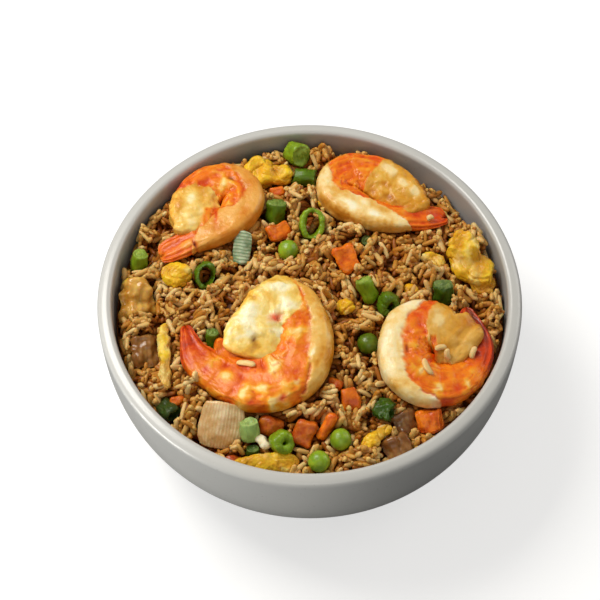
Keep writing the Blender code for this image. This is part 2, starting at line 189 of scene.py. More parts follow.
def turned(name, line, steps):
    """A solid turned about Z from (radius, level) points in mm that start and end on the axis."""
    first = Vector((line[0][0], 0, line[0][1])) * MM
    piece = start(name, bpy.ops.mesh.primitive_plane_add, size=MM, location=(0, 0, 0))
    bpy.ops.object.mode_set(mode="EDIT")
    bpy.ops.mesh.merge(type="CENTER")
    bpy.ops.transform.translate(value=first)
    last = first
    for radius, level in line[1:]:
        point = Vector((radius, 0, level)) * MM
        bpy.ops.mesh.extrude_region_move(TRANSFORM_OT_translate={"value": point - last})
        last = point
    bpy.ops.mesh.select_all(action="SELECT")
    bpy.ops.mesh.spin(steps=steps, angle=2 * math.pi, center=(0, 0, 0), axis=(0, 0, 1))
    bpy.ops.mesh.select_all(action="SELECT")
    bpy.ops.mesh.remove_doubles(threshold=JOINED * MM)
    bpy.ops.mesh.normals_make_consistent(inside=False)
    bpy.ops.object.mode_set(mode="OBJECT")
    bpy.ops.object.shade_smooth()
    return piece


inner_radius = RIM_RADIUS - RIM_WALL
lip_level = BOWL_HEIGHT - RIM_WALL / 2
line = [(0.0, FLOOR_LEVEL)] + wall_line(FLOOR_LEVEL, FLOOR_RADIUS, inner_radius, lip_level, 40)
for step in range(1, 10):
    angle = math.radians(180 - 10 * step)
    line.append((
        inner_radius + INNER_ROUND * (1 + math.cos(angle)), BOWL_HEIGHT - INNER_ROUND * (1 - math.sin(angle)),
    ))
for step in range(10):
    angle = math.radians(78 - 7.8 * step)
    line.append((
        RIM_RADIUS - OUTER_ROUND * (1 - math.cos(angle)), BOWL_HEIGHT - 0.4 - OUTER_ROUND * (1 - math.sin(angle)),
    ))
line += reversed(wall_line(FOOT_HEIGHT, BASE_RADIUS, RIM_RADIUS, lip_level - 0.6, 44))
inner_foot = FOOT_RADIUS - FOOT_WIDTH
line += [
    (FOOT_RADIUS, FOOT_HEIGHT - 0.5), (FOOT_RADIUS, 0.9), (FOOT_RADIUS - 0.3, 0.3), (FOOT_RADIUS - 0.9, 0.0),
    (inner_foot + 0.9, 0.0), (inner_foot + 0.3, 0.3), (inner_foot, 0.9), (inner_foot - 0.6, FOOT_HEIGHT - 0.5),
    (inner_foot - 1.6, FOOT_HEIGHT), (0.0, FOOT_HEIGHT),
]
stoneware_bowl = turned("stoneware_bowl", line, BOWL_STEPS)


def speckle(tree, **how):
    """Noise on the piece's own coordinates."""
    place = node(tree, "ShaderNodeTexCoord").outputs["Object"]
    return node(tree, "ShaderNodeTexNoise", {"Vector": place}, **how).outputs["Fac"]


def ranged(tree, value, **how):
    return node(tree, "ShaderNodeMapRange", {"Value": value}, **how).outputs["Result"]


def surfaced(tree, shader, colour, height, **how):
    """Gives the shader its colour and the height of its fine relief."""
    tree.links.new(colour, shader.inputs["Base Color"])
    bump = node(tree, "ShaderNodeBump", {"Height": height}, **how)
    tree.links.new(bump.outputs["Normal"], shader.inputs["Normal"])


def belongs(piece, name):
    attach(piece, "root")
    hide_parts(name)


glaze, tree, shader = finish_nodes("grey_glaze", 0.36, Coat_Weight=0.18, Coat_Roughness=0.2)
cloud = speckle(tree, Scale=26.0, Detail=4.0)
specks = ranged(tree, speckle(tree, Scale=900.0, Detail=2.0), From_Min=0.66, From_Max=0.78)
place = node(tree, "ShaderNodeTexCoord").outputs["Object"]
level = node(tree, "ShaderNodeSeparateXYZ", {"Vector": place}).outputs["Z"]
lip = ranged(tree, level, From_Min=(BOWL_HEIGHT - 2.6) * MM, From_Max=(BOWL_HEIGHT - 0.2) * MM)
unglazed = ranged(tree, level, From_Min=0.9 * MM, From_Max=0.5 * MM)
colour = blend(tree, cloud, (0.42, 0.43, 0.43), (0.49, 0.495, 0.485))
for where, over in ((specks, (0.33, 0.33, 0.32)), (lip, (0.53, 0.525, 0.50)), (unglazed, (0.50, 0.44, 0.36))):
    colour = blend(tree, where, colour, over)
surfaced(tree, shader, colour, cloud, Strength=0.12, Distance=0.002)
tree.links.new(ranged(tree, unglazed, To_Min=0.3, To_Max=0.8), shader.inputs["Roughness"])
stoneware_bowl.data.materials.append(glaze)
belongs(stoneware_bowl, "bowl")

# ---------------------------------------------------------------- rice core
# The rice lies in one low heap. Under its loose top grains it is a packed brown mass, made as
# one turned body whose top follows the heap and dips under every topping.
HEAP_EDGE_LEVEL = 53.5
HEAP_RISE = 6.5
HEAP_RADIUS = 75.0
CELL = 0.5
REACH = 77.0
GRAIN_DEPTH = 4.0
CORE_GAP = 0.5
LUMP_SIZE, LUMP_HEIGHT = 3.2, 0.5
CORE_RINGS, CORE_STEPS = 70, 160
ABOVE_ALL = 0.2


def heap_level(x, y):
    """Height of the heap's smooth outline at a place, in mm."""
    return HEAP_EDGE_LEVEL + HEAP_RISE * (1.0 - (math.hypot(x, y) / HEAP_RADIUS) ** 2)


def cell(place):
    """Which cell lies at a place in mm along one axis: for one place, or an array."""
    return np.rint((place + REACH) / CELL).astype(int)


def shape_tree(pieces):
    """One search tree over the given meshes."""
    points, faces = [], []
    for piece in pieces:
        first = len(points)
        points += [corner.co.copy() for corner in piece.data.vertices]
        faces += [[first + i for i in face.vertices] for face in piece.data.polygons]
    return BVHTree.FromPolygons(points, faces)


def looked_down(tree, missing):
    """Height in mm of what the tree holds, seen from above, on a square grid over the bowl."""
    count = int(2 * REACH / CELL) + 1
    seen = np.full((count, count), float(missing))
    down = Vector((0, 0, -1))
    for row in range(count):
        for column in range(count):
            x, y = column * CELL - REACH, row * CELL - REACH
            hit = tree.ray_cast(Vector((x * MM, y * MM, ABOVE_ALL)), down)[0]
            if hit is not None:
                seen[row, column] = hit.z / MM
    return seen


def spread(field, reach, pick):
    """The lowest or highest value within reach cells of each cell."""
    for axis in (0, 1):
        padded = np.pad(field, [(reach, reach) if a == axis else (0, 0) for a in (0, 1)], mode="edge")
        slices = [np.take(padded, range(k, k + field.shape[axis]), axis=axis) for k in range(2 * reach + 1)]
        field = pick(slices)
    return field


outline = looked_down(shape_tree([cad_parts["rice"]]), HEAP_EDGE_LEVEL)
core_top = spread(outline, 3, lambda parts: np.min(parts, axis=0))
core_top = spread(core_top, 2, lambda parts: np.mean(parts, axis=0)) - GRAIN_DEPTH
edge_wall = wall_line(FLOOR_LEVEL, FLOOR_RADIUS, inner_radius, HEAP_EDGE_LEVEL, 24)
edge = edge_wall[-1][0] - CORE_GAP
line = [(edge * i / CORE_RINGS, heap_level(edge * i / CORE_RINGS, 0.0)) for i in range(CORE_RINGS)]
line += [(radius - CORE_GAP, min(level + CORE_GAP, HEAP_EDGE_LEVEL)) for radius, level in reversed(edge_wall)]
line.append((0.0, FLOOR_LEVEL + CORE_GAP))
rice_core = turned("rice_core", line, CORE_STEPS)
places = np.zeros(len(rice_core.data.vertices) * 3)
rice_core.data.vertices.foreach_get("co", places)
places = places.reshape(-1, 3)
crown = places[:, 2] > (HEAP_EDGE_LEVEL - 0.3) * MM
columns, rows = (np.clip(cell(places[:, axis] / MM), 0, len(core_top) - 1) for axis in (0, 1))
lumps = np.array([noise.noise(Vector(p) / (LUMP_SIZE * MM)) for p in places])
places[crown, 2] = (core_top[rows, columns] + LUMP_HEIGHT * lumps)[crown] * MM
rice_core.data.vertices.foreach_set("co", places.ravel())
rice_core.data.update()

packed, tree, shader = finish_nodes("packed_rice", 0.5)
place = node(tree, "ShaderNodeTexCoord").outputs["Object"]
# painted shade: the packed rice is darker towards the edges of its lumps, in the crevices between them
lumpy = node(tree, "ShaderNodeTexVoronoi", {"Vector": place}, Scale=420.0).outputs["Distance"]
shade = blend(tree, lumpy, (0.36, 0.11, 0.006), (0.18, 0.045, 0.003))
surfaced(tree, shader, shade, lumpy, Strength=0.8, Distance=0.001, invert=True)
rice_core.data.materials.append(packed)
belongs(rice_core, "rice")

# ---------------------------------------------------------------- prawns
# Four peeled prawns, slit down the back and fried until they curl, with the tail left on. Each is
# one bent body: a smooth pale band where the slit back opens out, orange ringed flesh inside it,
# torn pale flesh at the head end that fills the curl, and a red tail that flattens to a fan.
BEND_SHARES = (0.0, 0.15, 0.35, 0.55, 0.75, 0.9, 1.0)
# share of the length: depth and thickness there, as shares of the fullest
PRAWN_FORM = (
    (0.00, 0.80, 0.66), (0.04, 1.00, 0.86), (0.16, 1.00, 1.00), (0.34, 1.00, 0.97), (0.55, 0.88, 0.88),
    (0.72, 0.70, 0.74), (0.84, 0.54, 0.56), (0.90, 0.58, 0.42), (0.96, 0.54, 0.30), (1.00, 0.40, 0.20),
)
# x, y, lift: head end in mm. bends: the way the body points at each of BEND_SHARES, in degrees.
# fill: how much further in the torn flesh reaches. stub: how far it runs on past the head end.
# outer: share, and how far out the back stands there. band: share, and how far in the pale back
# reaches, from 1 at the outer edge to -1. flesh: share, and how far out the torn flesh reaches.
# core: share, and where the ringed flesh shows again inside it. tone: how pale flesh, band and body.
# marks: kind, share, across, and half sizes in mm along and across. Pale marks are partly paler flesh and partly
# painted highlights; dark marks are painted shade in cracks sunk into the flesh.
PRAWNS = {
    "prawn_back_left": dict(
        x=-49.6, y=32.6, length=90.0, bends=(100, 70, -6, -112, -156, -156, -160), back=7.6, belly=10.6,
        thick=5.2, head=0.82, lift=6.6, sink=2.0, tail=0.84, fill=5.0, stub=5.0, rings=0.2, swirl=1.0,
        tail_tone=0.12,
        outer=((0.0, 1.0), (1.0, 1.0)), tone=(0.04, -0.04, 0.08),
        flesh=((0.00, 1.3), (0.13, 1.15), (0.17, 0.5), (0.20, 0.15), (0.25, -0.45), (0.32, -1.4)),
        core=((0.00, -0.5), (0.08, -0.62), (0.12, -0.9), (0.16, -1.4)),
        band=(
            (0.30, 1.2), (0.34, 0.75), (0.38, 0.35), (0.43, 0.05), (0.48, -0.10), (0.55, -0.25), (0.60, -0.5),
            (0.66, -1.2), (0.78, -1.2), (0.83, -0.3), (0.86, 0.4), (0.88, 1.2),
        ),
        marks=(
            ("red", 0.33, 0.33, 2.6, 0.9), ("pale", 0.13, -0.1, 3.5, 2.5), ("dark", 0.38, -0.12, 1.6, 0.6),
            ("gold", 0.16, 0.8, 2.2, 2.0), ("red", 0.03, -0.92, 5.0, 0.8), ("pale", 0.34, -0.35, 1.4, 4.0),
            ("pale", 0.87, 0.1, 3.2, 1.4), ("red", 0.852, 0.45, 0.8, 2.2), ("dark", 0.855, 0.55, 0.4, 1.6),
            ("gold", 0.50, -0.15, 5.0, 1.2), ("gold", 0.60, 0.3, 4.0, 2.0), ("gold", 0.22, -0.1, 3.0, 2.0),
        ),
    ),
    "prawn_back_right": dict(
        x=44.0, y=44.6, length=100.0, bends=(115, 143, 193, 320, 355, 370, 380), back=7.2, belly=11.2,
        thick=5.2, head=0.7, lift=5.4, sink=2.0, tail=0.85, fill=4.0, stub=4.5, rings=0.15, swirl=1.0,
        torn=0.8,
        outer=((0.0, 1.0), (0.28, 1.0), (0.33, 1.12), (0.42, 0.95), (0.52, 0.86), (0.64, 0.84), (0.74, 1.0)),
        tone=(0.0, 0.04, 0.0),
        flesh=((0.00, 1.3), (0.18, 1.2), (0.21, 0.9), (0.23, 0.1), (0.26, -0.5), (0.30, -1.4)),
        core=((0.00, -1.4), (1.0, -1.4)),
        band=(
            (0.37, 1.2), (0.40, 0.75), (0.42, 0.15), (0.46, -0.05), (0.55, -0.5), (0.62, -0.8), (0.70, -0.75),
            (0.78, -0.4), (0.83, 0.1), (0.86, 1.2),
        ),
        marks=(
            ("red", 0.255, 0.6, 2.4, 1.3), ("red", 0.325, 0.8, 1.4, 1.8), ("red", 0.385, -0.15, 3.2, 0.8),
            ("pale", 0.17, 0.1, 3.0, 1.8), ("pale", 0.10, -0.1, 3.0, 1.5), ("pale", 0.03, 0.0, 3.0, 1.6),
            ("gold", 0.15, -0.5, 3.5, 1.5), ("gold", 0.07, 0.8, 5.0, 1.4), ("red", 0.62, -0.85, 2.5, 0.7),
            ("red", 0.80, -0.75, 4.0, 0.6), ("gold", 0.10, -0.75, 4.0, 1.2), ("gold", 0.60, 0.9, 5.0, 1.2),
            ("pale", 0.60, 0.0, 5.0, 2.0), ("pale", 0.72, 0.1, 4.0, 1.6), ("red", 0.97, 0.0, 2.6, 2.4),
        ),
    ),
    "prawn_middle": dict(
        x=-26.4, y=-19.8, length=110.5, bends=(67, 67, -64, -124, -201, -226, -258), back=12.0, belly=13.6,
        thick=7.2, head=0.7, lift=6.2, sink=3.0, late=0.075, tail=0.91, fill=10.5, stub=8.0, rings=0.5, swirl=0.7,
        reach=1.07, tip=0.4, tail_tone=-0.08,
        inner=((0.0, 1.0), (0.50, 1.0), (0.62, 1.5), (0.80, 1.5), (0.90, 1.1), (1.0, 1.0)),
        outer=(
            (0.0, 0.92), (0.05, 0.62), (0.10, 0.58), (0.15, 0.78), (0.19, 1.0), (0.23, 0.85), (0.30, 0.74),
            (0.36, 0.76), (0.42, 0.86), (0.50, 0.94), (1.0, 1.0),
        ),
        tone=(0.16, -0.04, 0.08),
        flesh=((0.00, 1.3), (0.21, 1.2), (0.25, 0.45), (0.29, 0.0), (0.32, -0.5), (0.36, -0.9), (0.40, -1.4)),
        core=((0.00, -1.4), (1.0, -1.4)),
        band=(
            (0.20, 1.2), (0.25, 0.55), (0.30, 0.22), (0.36, 0.06), (0.42, 0.06), (0.47, 0.20), (0.52, 0.55),
            (0.56, 0.9), (0.60, 1.2),
        ),
        marks=(
            ("red", 0.165, -0.5, 2.6, 1.5), ("red", 0.19, -0.62, 1.6, 1.0), ("dark", -0.015, -0.35, 2.0, 1.1),
            ("gold", 0.12, 0.35, 1.8, 1.4), ("gold", -0.03, -0.5, 2.6, 4.0), ("pale", 0.05, 0.0, 5.0, 5.0),
            ("pale", 0.20, 0.35, 3.0, 1.5), ("pale", 0.25, -0.2, 2.5, 1.5), ("pale", 0.465, 0.3, 3.5, 0.9),
            ("gold", 0.48, 0.62, 4.5, 1.0), ("red", 0.54, 0.15, 2.0, 1.0), ("red", 0.555, 0.38, 1.5, 0.9),
            ("pale", 0.57, -0.5, 2.5, 2.2), ("pale", 0.56, 0.5, 2.0, 1.6), ("pale", 0.66, 0.2, 2.2, 2.4),
            ("red", 0.69, 0.85, 2.5, 1.0), ("red", 0.61, 0.8, 2.0, 1.2), ("pale", 0.79, -0.1, 2.6, 2.2),
            ("red", 0.745, -0.3, 1.6, 1.0), ("pale", 0.64, 0.85, 1.5, 1.5), ("red", 0.865, 0.2, 2.2, 2.4),
            ("red", 0.40, 0.0, 5.0, 0.5), ("pale", 0.72, 0.5, 1.8, 2.2), ("gold", 0.16, 0.0, 1.4, 2.0),
            ("gold", -0.10, -0.4, 3.4, 7.0),
        ),
    ),
    "prawn_right": dict(
        x=61.2, y=-17.0, length=93.5, bends=(142, 174, 256, 331, 401, 440, 470), back=9.4, belly=15.0,
        thick=5.8, head=0.78, lift=5.3, sink=1.5, tail=0.84, fill=6.0, stub=5.5, rings=0.3, swirl=0.8,
        reach=1.12, tip=0.5, tail_tone=-0.24, torn=0.8,
        outer=(
            (0.0, 1.0), (0.05, 1.0), (0.078, 0.5), (0.10, 0.8), (0.15, 1.0), (0.28, 1.0), (0.34, 0.82),
            (0.40, 0.86), (0.46, 0.94), (0.52, 1.0),
        ),
        tone=(0.02, 0.10, -0.02),
        flesh=((0.00, 1.3), (0.13, 1.2), (0.155, 0.6), (0.18, 0.1), (0.21, -0.35), (0.26, -0.7), (0.32, -1.4)),
        core=((0.00, -1.4), (0.05, -1.2), (0.10, -0.75), (0.15, -0.5), (0.2, -0.5), (0.3, -1.4)),
        band=(
            (0.13, 1.2), (0.17, 1.0), (0.20, 0.55), (0.25, 0.28), (0.30, 0.02), (0.36, -0.12), (0.42, -0.12),
            (0.47, 0.0), (0.52, 0.32), (0.58, 0.55), (0.62, 0.62), (0.65, 1.2),
        ),
        marks=(
            ("red", 0.165, 0.8, 1.5, 2.2), ("red", 0.185, 0.35, 1.8, 2.4), ("red", 0.215, 0.0, 2.0, 2.0),
            ("red", 0.235, -0.25, 1.8, 1.6), ("red", 0.40, -0.22, 3.6, 0.8), ("dark", 0.405, -0.22, 2.0, 0.35),
            ("gold", 0.03, 0.3, 3.0, 3.5), ("pale", 0.13, -0.1, 2.5, 3.0), ("red", 0.70, 0.45, 2.0, 2.5),
            ("pale", 0.64, 0.2, 2.0, 2.8), ("pale", 0.74, 0.4, 1.8, 2.4), ("red", 0.655, 0.95, 4.0, 0.7),
            ("red", 0.90, 0.6, 6.0, 2.0), ("dark", 1.08, 0.2, 4.0, 1.2), ("pale", 0.55, -0.2, 1.2, 2.4),
            ("gold", 0.40, 0.0, 4.0, 1.0),
        ),
    ),
}
PRAWN_ROUND = 110
PRAWN_RINGS = 300
CAP_RINGS = 16
TAIL_CAP = 0.985
FULLNESS = 2 / 2.7
TAIL_START = 0.82
TAIL_RIDGES = 9.0
CURL_ROOM = 0.9
RING_EDGES = (0.23, 0.34, 0.45, 0.55, 0.65, 0.74, 0.82)


def along(stations, share):
    """Reads a row of stations at a share of the length, in straight steps."""
    for low, high in zip(stations, stations[1:]):
        if share <= high[0]:
            part = max(0.0, (share - low[0]) / (high[0] - low[0]))
            return [a + (b - a) * part for a, b in zip(low[1:], high[1:])]
    return list(stations[-1][1:])


def prawn_way(form, share):
    """The way a prawn's body points at a share of its length, in radians, with soft changes."""
    bends = tuple(zip(BEND_SHARES, form["bends"]))
    late = form.get("late", 0.0)
    steps = [late + (1.0 - late) * share + 0.05 * (i - 2) / 2 for i in range(5)]
    return math.radians(sum(along(bends, min(1.0, max(0.0, step)))[0] for step in steps) / len(steps))


def soft_step(low, high, value):
    part = min(1.0, max(0.0, (value - low) / (high - low)))
    return part * part * (3 - 2 * part)


def ridge(value, width):
    return math.exp(-((value / width) ** 2))


def fuller(value):
    """A sine or cosine made fuller, for a section between an oval and a box."""
    return math.copysign(abs(value) ** FULLNESS, value)


def head_depth(form, share):
    """How deep the head end is, as a share of the body behind it."""
    return form["head"] + (1.0 - form["head"]) * min(1.0, share / 0.25)


def filling(form, share):
    """How much further in the torn flesh reaches here, in mm."""
    return form["fill"] * (1.0 - soft_step(0.12, 0.32, share))


def prawn_spine(form):
    """Stations (x, y, way, share, curl radius) along the middle of a prawn."""
    x, y = form["x"], form["y"]
    reach = form.get("reach", 1.0)
    stations = []
    for i in range(PRAWN_RINGS + 1):
        share = reach * i / PRAWN_RINGS
        low, high = max(0.0, share - 0.05), min(reach, share + 0.05)
        turn = abs(prawn_way(form, high) - prawn_way(form, low))
        stations.append((x, y, prawn_way(form, share), share, (high - low) * form["length"] / max(turn, 0.01)))
        way = prawn_way(form, reach * (i + 0.5) / PRAWN_RINGS)
        x += math.cos(way) * form["length"] * reach / PRAWN_RINGS
        y += math.sin(way) * form["length"] * reach / PRAWN_RINGS
    return stations


def mark_places(form, spine, outward):
    """Each mark of a prawn as kind, place on plan, way, and half sizes along and across."""
    places = []
    for kind, at, out, run, width in form["marks"]:
        x, y, way, share, curl = min(spine, key=lambda station: abs(station[3] - at))
        if at < 0:
            x, y = x + math.cos(way) * at * form["length"], y + math.sin(way) * at * form["length"]
        depth = along(PRAWN_FORM, share)[0] * head_depth(form, share)
        back, belly = form["back"] * depth, min(form["belly"] * depth, CURL_ROOM * curl) + filling(form, share)
        reach = out * (back * along(form["outer"], share)[0] if out > 0 else belly)
        x, y = x + math.cos(way + outward) * reach, y + math.sin(way + outward) * reach
        places.append((kind, x, y, way, run, width))
    return places


def marked(places, place):
    """How strongly each kind of mark shows at a place on a prawn."""
    shown = {"red": 0.0, "dark": 0.0, "pale": 0.0, "gold": 0.0}
    for kind, x, y, way, run, width in places:
        dx, dy = place.x - x, place.y - y
        far = ((dx * math.cos(way) + dy * math.sin(way)) / run) ** 2
        far += ((dy * math.cos(way) - dx * math.sin(way)) / width) ** 2
        if far < 6.0:
            shown[kind] = max(shown[kind], math.exp(-far))
    return shown


def prawn_shape(name, form):
    """The prawn's body from a grid rolled into a bent tube, with masks for its material."""
    piece = start(
        name, bpy.ops.mesh.primitive_grid_add, x_subdivisions=PRAWN_ROUND, y_subdivisions=PRAWN_RINGS + CAP_RINGS,
        size=1.0,
    )
    outward = math.copysign(math.pi / 2, form["bends"][0] - form["bends"][-1])
    seed = Vector((form["x"], form["y"], 11.0))
    spine = prawn_spine(form)
    spots = mark_places(form, spine, outward)
    reach = form.get("reach", 1.0)
    flesh_tone, band_tone, body_tone = form["tone"]
    masks = {key: [] for key in ("band", "flesh", "red", "dark", "tail", "tone")}
    for point in piece.data.vertices:
        turn = (point.co.x + 0.5) * 2 * math.pi
        ring = int(round((point.co.y + 0.5) * (PRAWN_RINGS + CAP_RINGS)))
        cap = max(0, CAP_RINGS - ring) / CAP_RINGS
        x, y, way, share, curl = spine[max(0, ring - CAP_RINGS)]
        tail_share = share
        if share >= TAIL_START:
            tail_share = TAIL_START + (share - TAIL_START) * (1.0 - TAIL_START) / (reach - TAIL_START)
        dome = max(0.0, 1.0 - cap**2.6) ** (1 / 2.6)
        if tail_share > TAIL_CAP:
            dome = math.sqrt(max(0.0, 1.0 - ((tail_share - TAIL_CAP) / (1.0 - TAIL_CAP)) ** 2))
        depth, thick = along(PRAWN_FORM, tail_share)
        depth *= head_depth(form, share)
        depth *= 1.0 - (1.0 - form.get("tip", 1.0)) * soft_step(0.86, 1.0, tail_share)
        across, up = fuller(math.cos(turn)), fuller(math.sin(turn))
        filled = filling(form, share)
        back = form["back"] * depth * dome * along(form["outer"], share)[0]
        broad_body = along(form.get("inner", ((0.0, 1.0), (1.0, 1.0))), share)[0]
        belly = (min(form["belly"] * depth * broad_body, CURL_ROOM * curl) + filled) * dome
        out = across * (back if across > 0 else belly)
        inside = max(0.0, -across) * filled / form["belly"]
        side = Vector((math.cos(way + outward), math.sin(way + outward), 0.0))
        ahead = Vector((math.cos(way), math.sin(way), 0.0))
        place = Vector((x, y, heap_level(x, y) + form["lift"] - form["sink"] * share))
        place += side * out - ahead * cap * form["stub"]
        raised = form["thick"] * thick * dome * up * (1.0 - 0.35 * inside)
        place.z += raised + 0.8 * inside * soft_step(0.0, 0.3, up)
        wander = noise.noise(place / 4.5 + seed)
        fine = noise.noise(place / 1.6 + seed)
        broad = noise.noise(place / 9.0 + seed)
        top = soft_step(-0.1, 0.25, up)
        # the pale band's inner edge, and the torn flesh's edges
        inner = along(form["band"], share)[0]
        band = soft_step(inner - 0.05, inner + 0.05, across - 0.10 * wander - 0.07 * fine)
        if inner > 1.0:
            band = 0.0
        slit = ridge(across - inner - 0.10 * wander - 0.07 * fine, 0.05) * top
        slit *= soft_step(-0.3, 0.3, wander + 0.5 * fine)
        torn_to = along(form["flesh"], share)[0] + 0.16 * wander + 0.12 * fine
        torn_from = along(form["core"], share)[0] + 0.16 * wander
        flesh = 1.0 - soft_step(torn_to - 0.08, torn_to + 0.08, across)
        flesh *= soft_step(torn_from - 0.08, torn_from + 0.08, across)
        tail = soft_step(form["tail"] - 0.03, form["tail"] + 0.03, share + 0.03 * wander + 0.015 * fine)
        body = (1.0 - flesh) * (1.0 - band) * (1.0 - tail)
        # the rings of the body, uneven and partly faint, each paler across its middle: partly paler flesh, partly
        # a painted highlight
        gaps = [share - edge - 0.014 * across * across - 0.012 * wander for edge in RING_EDGES]
        faint = form["rings"] * (1.0 - tail) * soft_step(-1.0, -0.45, across) * soft_step(-0.5, 0.2, broad)
        crease = max(ridge(gap, 0.007) for gap in gaps) * faint
        swell = max((1.0 - soft_step(0.0, 0.075, gap)) * soft_step(-0.008, 0.012, gap) for gap in gaps) * faint
        pale_belt_and_highlight = max(ridge(gap - 0.05, 0.028) for gap in gaps)
        # streaks and folds that run along the body
        flow = noise.noise(Vector((share * form["length"] / 11.0, out / 2.0, seed.x)))
        flow += 0.5 * noise.noise(Vector((share * form["length"] / 5.0, out / 1.0, seed.y)))
        streak = ridge(flow, 0.07) * form["swirl"]
        shown = marked(spots, place + Vector((0.5 * wander, 0.5 * fine, 0.0)))
        # tone: dark red, orange or brown at 0, and pale at 1
        # pale marks raise the tone: partly paler flesh, partly painted highlights
        tone = 0.46 + 0.26 * wander + 0.14 * fine + 0.16 * broad + 0.75 * shown["pale"] - 0.4 * shown["gold"]
        tone += body * (body_tone + 0.30 * flow * form["swirl"] + 0.45 * (pale_belt_and_highlight - 0.4) * faint * 2 - 0.12)
        tone += flesh * (flesh_tone + 0.25 * broad - 0.25 * soft_step(0.55, 1.0, across))
        # the band is painted darker towards its outer edge, as shade where it turns down the side
        tone += band * (1.0 - flesh) * (band_tone + 0.30 * broad - 0.22 * soft_step(0.75, 1.0, across))
        tone += tail * (form.get("tail_tone", 0.0) + 0.12 * math.cos(turn * TAIL_RIDGES))
        # relief
        relief = 0.30 * noise.noise(place / 5.5 + seed * 2) + 0.14 * noise.noise(place / 2.4 + seed * 3)
        relief += flesh * form.get("torn", 1.0) * (
            0.9 * noise.noise(place / 3.8 + seed) + 0.35 * noise.noise(place / 1.5 + seed)
        )
        relief += (0.5 * swell - 0.4 * crease - 0.35 * streak + 0.5 * flow * form["swirl"]) * (body + 0.3 * band)
        relief += 0.5 * (min(1.0, max(0.0, tone)) - 0.5) * (1.0 - 0.6 * band)
        # dark marks sink as cracks and are painted near black as their shade
        relief -= 0.9 * slit * (1.0 - flesh) + 0.8 * shown["dark"] + 0.3 * shown["red"]
        relief += 0.4 * band * max(0.0, 1.0 - ((across - 0.7) / 0.6) ** 2)
        relief += tail * 0.16 * math.cos(turn * TAIL_RIDGES)
        normal = side * across / max(back, 1.0) + Vector((0, 0, up / max(form["thick"] * thick, 1.0)))
        normal = normal.normalized() if normal.length > 0 else Vector((0, 0, 1))
        place += normal * relief * min(1.0, dome * 1.5)
        place += ahead * 2.2 * soft_step(0.93, 1.0, tail_share) * (abs(across) - 0.55)
        point.co = place * MM
        red = max(
            0.8 * slit * (1.0 - flesh) * (1.0 - tail), 0.8 * crease * body, shown["red"],
            0.8 * streak * body * top * soft_step(-0.2, 0.3, wander),
        )
        values = dict(band=band * (1.0 - flesh), flesh=flesh, red=red, dark=shown["dark"], tail=tail, tone=tone)
        for key, value in values.items():
            masks[key].append(value)
    for key, values in masks.items():
        piece.data.attributes.new(key, "FLOAT", "POINT").data.foreach_set("value", values)
    bpy.ops.object.mode_set(mode="EDIT")
    bpy.ops.mesh.select_all(action="SELECT")
    bpy.ops.mesh.remove_doubles(threshold=2 * JOINED * MM)
    bpy.ops.mesh.normals_make_consistent(inside=False)
    bpy.ops.object.mode_set(mode="OBJECT")
    bpy.ops.object.shade_smooth()
    return piece


def mask(tree, name):
    return node(tree, "ShaderNodeAttribute", attribute_name=name).outputs["Fac"]


def combined(tree, kind, first, second):
    """Two values added, multiplied or subtracted; the second may be a plain number."""
    made = node(tree, "ShaderNodeMath", {0: first}, operation=kind)
    if isinstance(second, float):
        made.inputs[1].default_value = second
    else:
        tree.links.new(second, made.inputs[1])
    return made.outputs[0]


def mottle_group():
    """Patches between two colours, as in cooked flesh: shared by most of the food."""
    group = bpy.data.node_groups.new("mottle", "ShaderNodeTree")
    for name, way, kind in (
        ("Dark", "INPUT", "Color"), ("Light", "INPUT", "Color"), ("Scale", "INPUT", "Float"),
        ("Middle", "INPUT", "Float"), ("Softness", "INPUT", "Float"),
        ("Color", "OUTPUT", "Color"), ("Mask", "OUTPUT", "Float"),
    ):
        group.interface.new_socket(name=name, in_out=way, socket_type="NodeSocket" + kind)
    into = group.nodes.new("NodeGroupInput").outputs
    place = node(group, "ShaderNodeTexCoord").outputs["Object"]
    patches = node(
        group, "ShaderNodeTexNoise", {"Vector": place, "Scale": into["Scale"]}, Detail=5.0, Roughness=0.6,
    )
    edges = node(group, "ShaderNodeMapRange", {
        "Value": patches.outputs["Fac"],
        "From Min": combined(group, "SUBTRACT", into["Middle"], into["Softness"]),
        "From Max": combined(group, "ADD", into["Middle"], into["Softness"]),
    }).outputs["Result"]
    out = group.nodes.new("NodeGroupOutput").inputs
    group.links.new(blend(group, edges, into["Dark"], into["Light"]), out["Color"])
    group.links.new(edges, out["Mask"])
    return group


mottle = mottle_group()


def mottled(tree, dark, light, scale, middle=0.5, softness=0.12):
    return node(
        tree, "ShaderNodeGroup", node_tree=mottle, Dark=(*dark, 1), Light=(*light, 1), Scale=scale, Middle=middle,
        Softness=softness,
    ).outputs


def cooked(name, roughness, gloss, coat, coat_roughness, glow, depth):
    """The finish of cooked food, shiny with oil, with light let in to a depth in mm."""
    return finish_nodes(
        name, roughness, Specular_IOR_Level=gloss, Coat_Weight=coat, Coat_Roughness=coat_roughness,
        Subsurface_Weight=glow, Subsurface_Scale=depth * MM,
    )


def toned(tree, tone, colours):
    """A colour picked by tone from a row of colours, dark to pale."""
    ramp = node(tree, "ShaderNodeValToRGB", {"Fac": tone})
    stops = ramp.color_ramp.elements
    stops[0].color, stops[1].color = (*colours[0], 1), (*colours[-1], 1)
    for i, colour in enumerate(colours[1:-1], 1):
        stops.new(i / (len(colours) - 1)).color = (*colour, 1)
    return ramp.outputs["Color"]


BODY_TONES = (
    (0.60, 0.055, 0.002), (0.80, 0.16, 0.003), (0.84, 0.23, 0.006), (0.88, 0.40, 0.03), (0.92, 0.64, 0.22),
)
TAIL_TONES = ((0.22, 0.008, 0.002), (0.60, 0.050, 0.002), (0.82, 0.16, 0.005), (0.90, 0.34, 0.04))


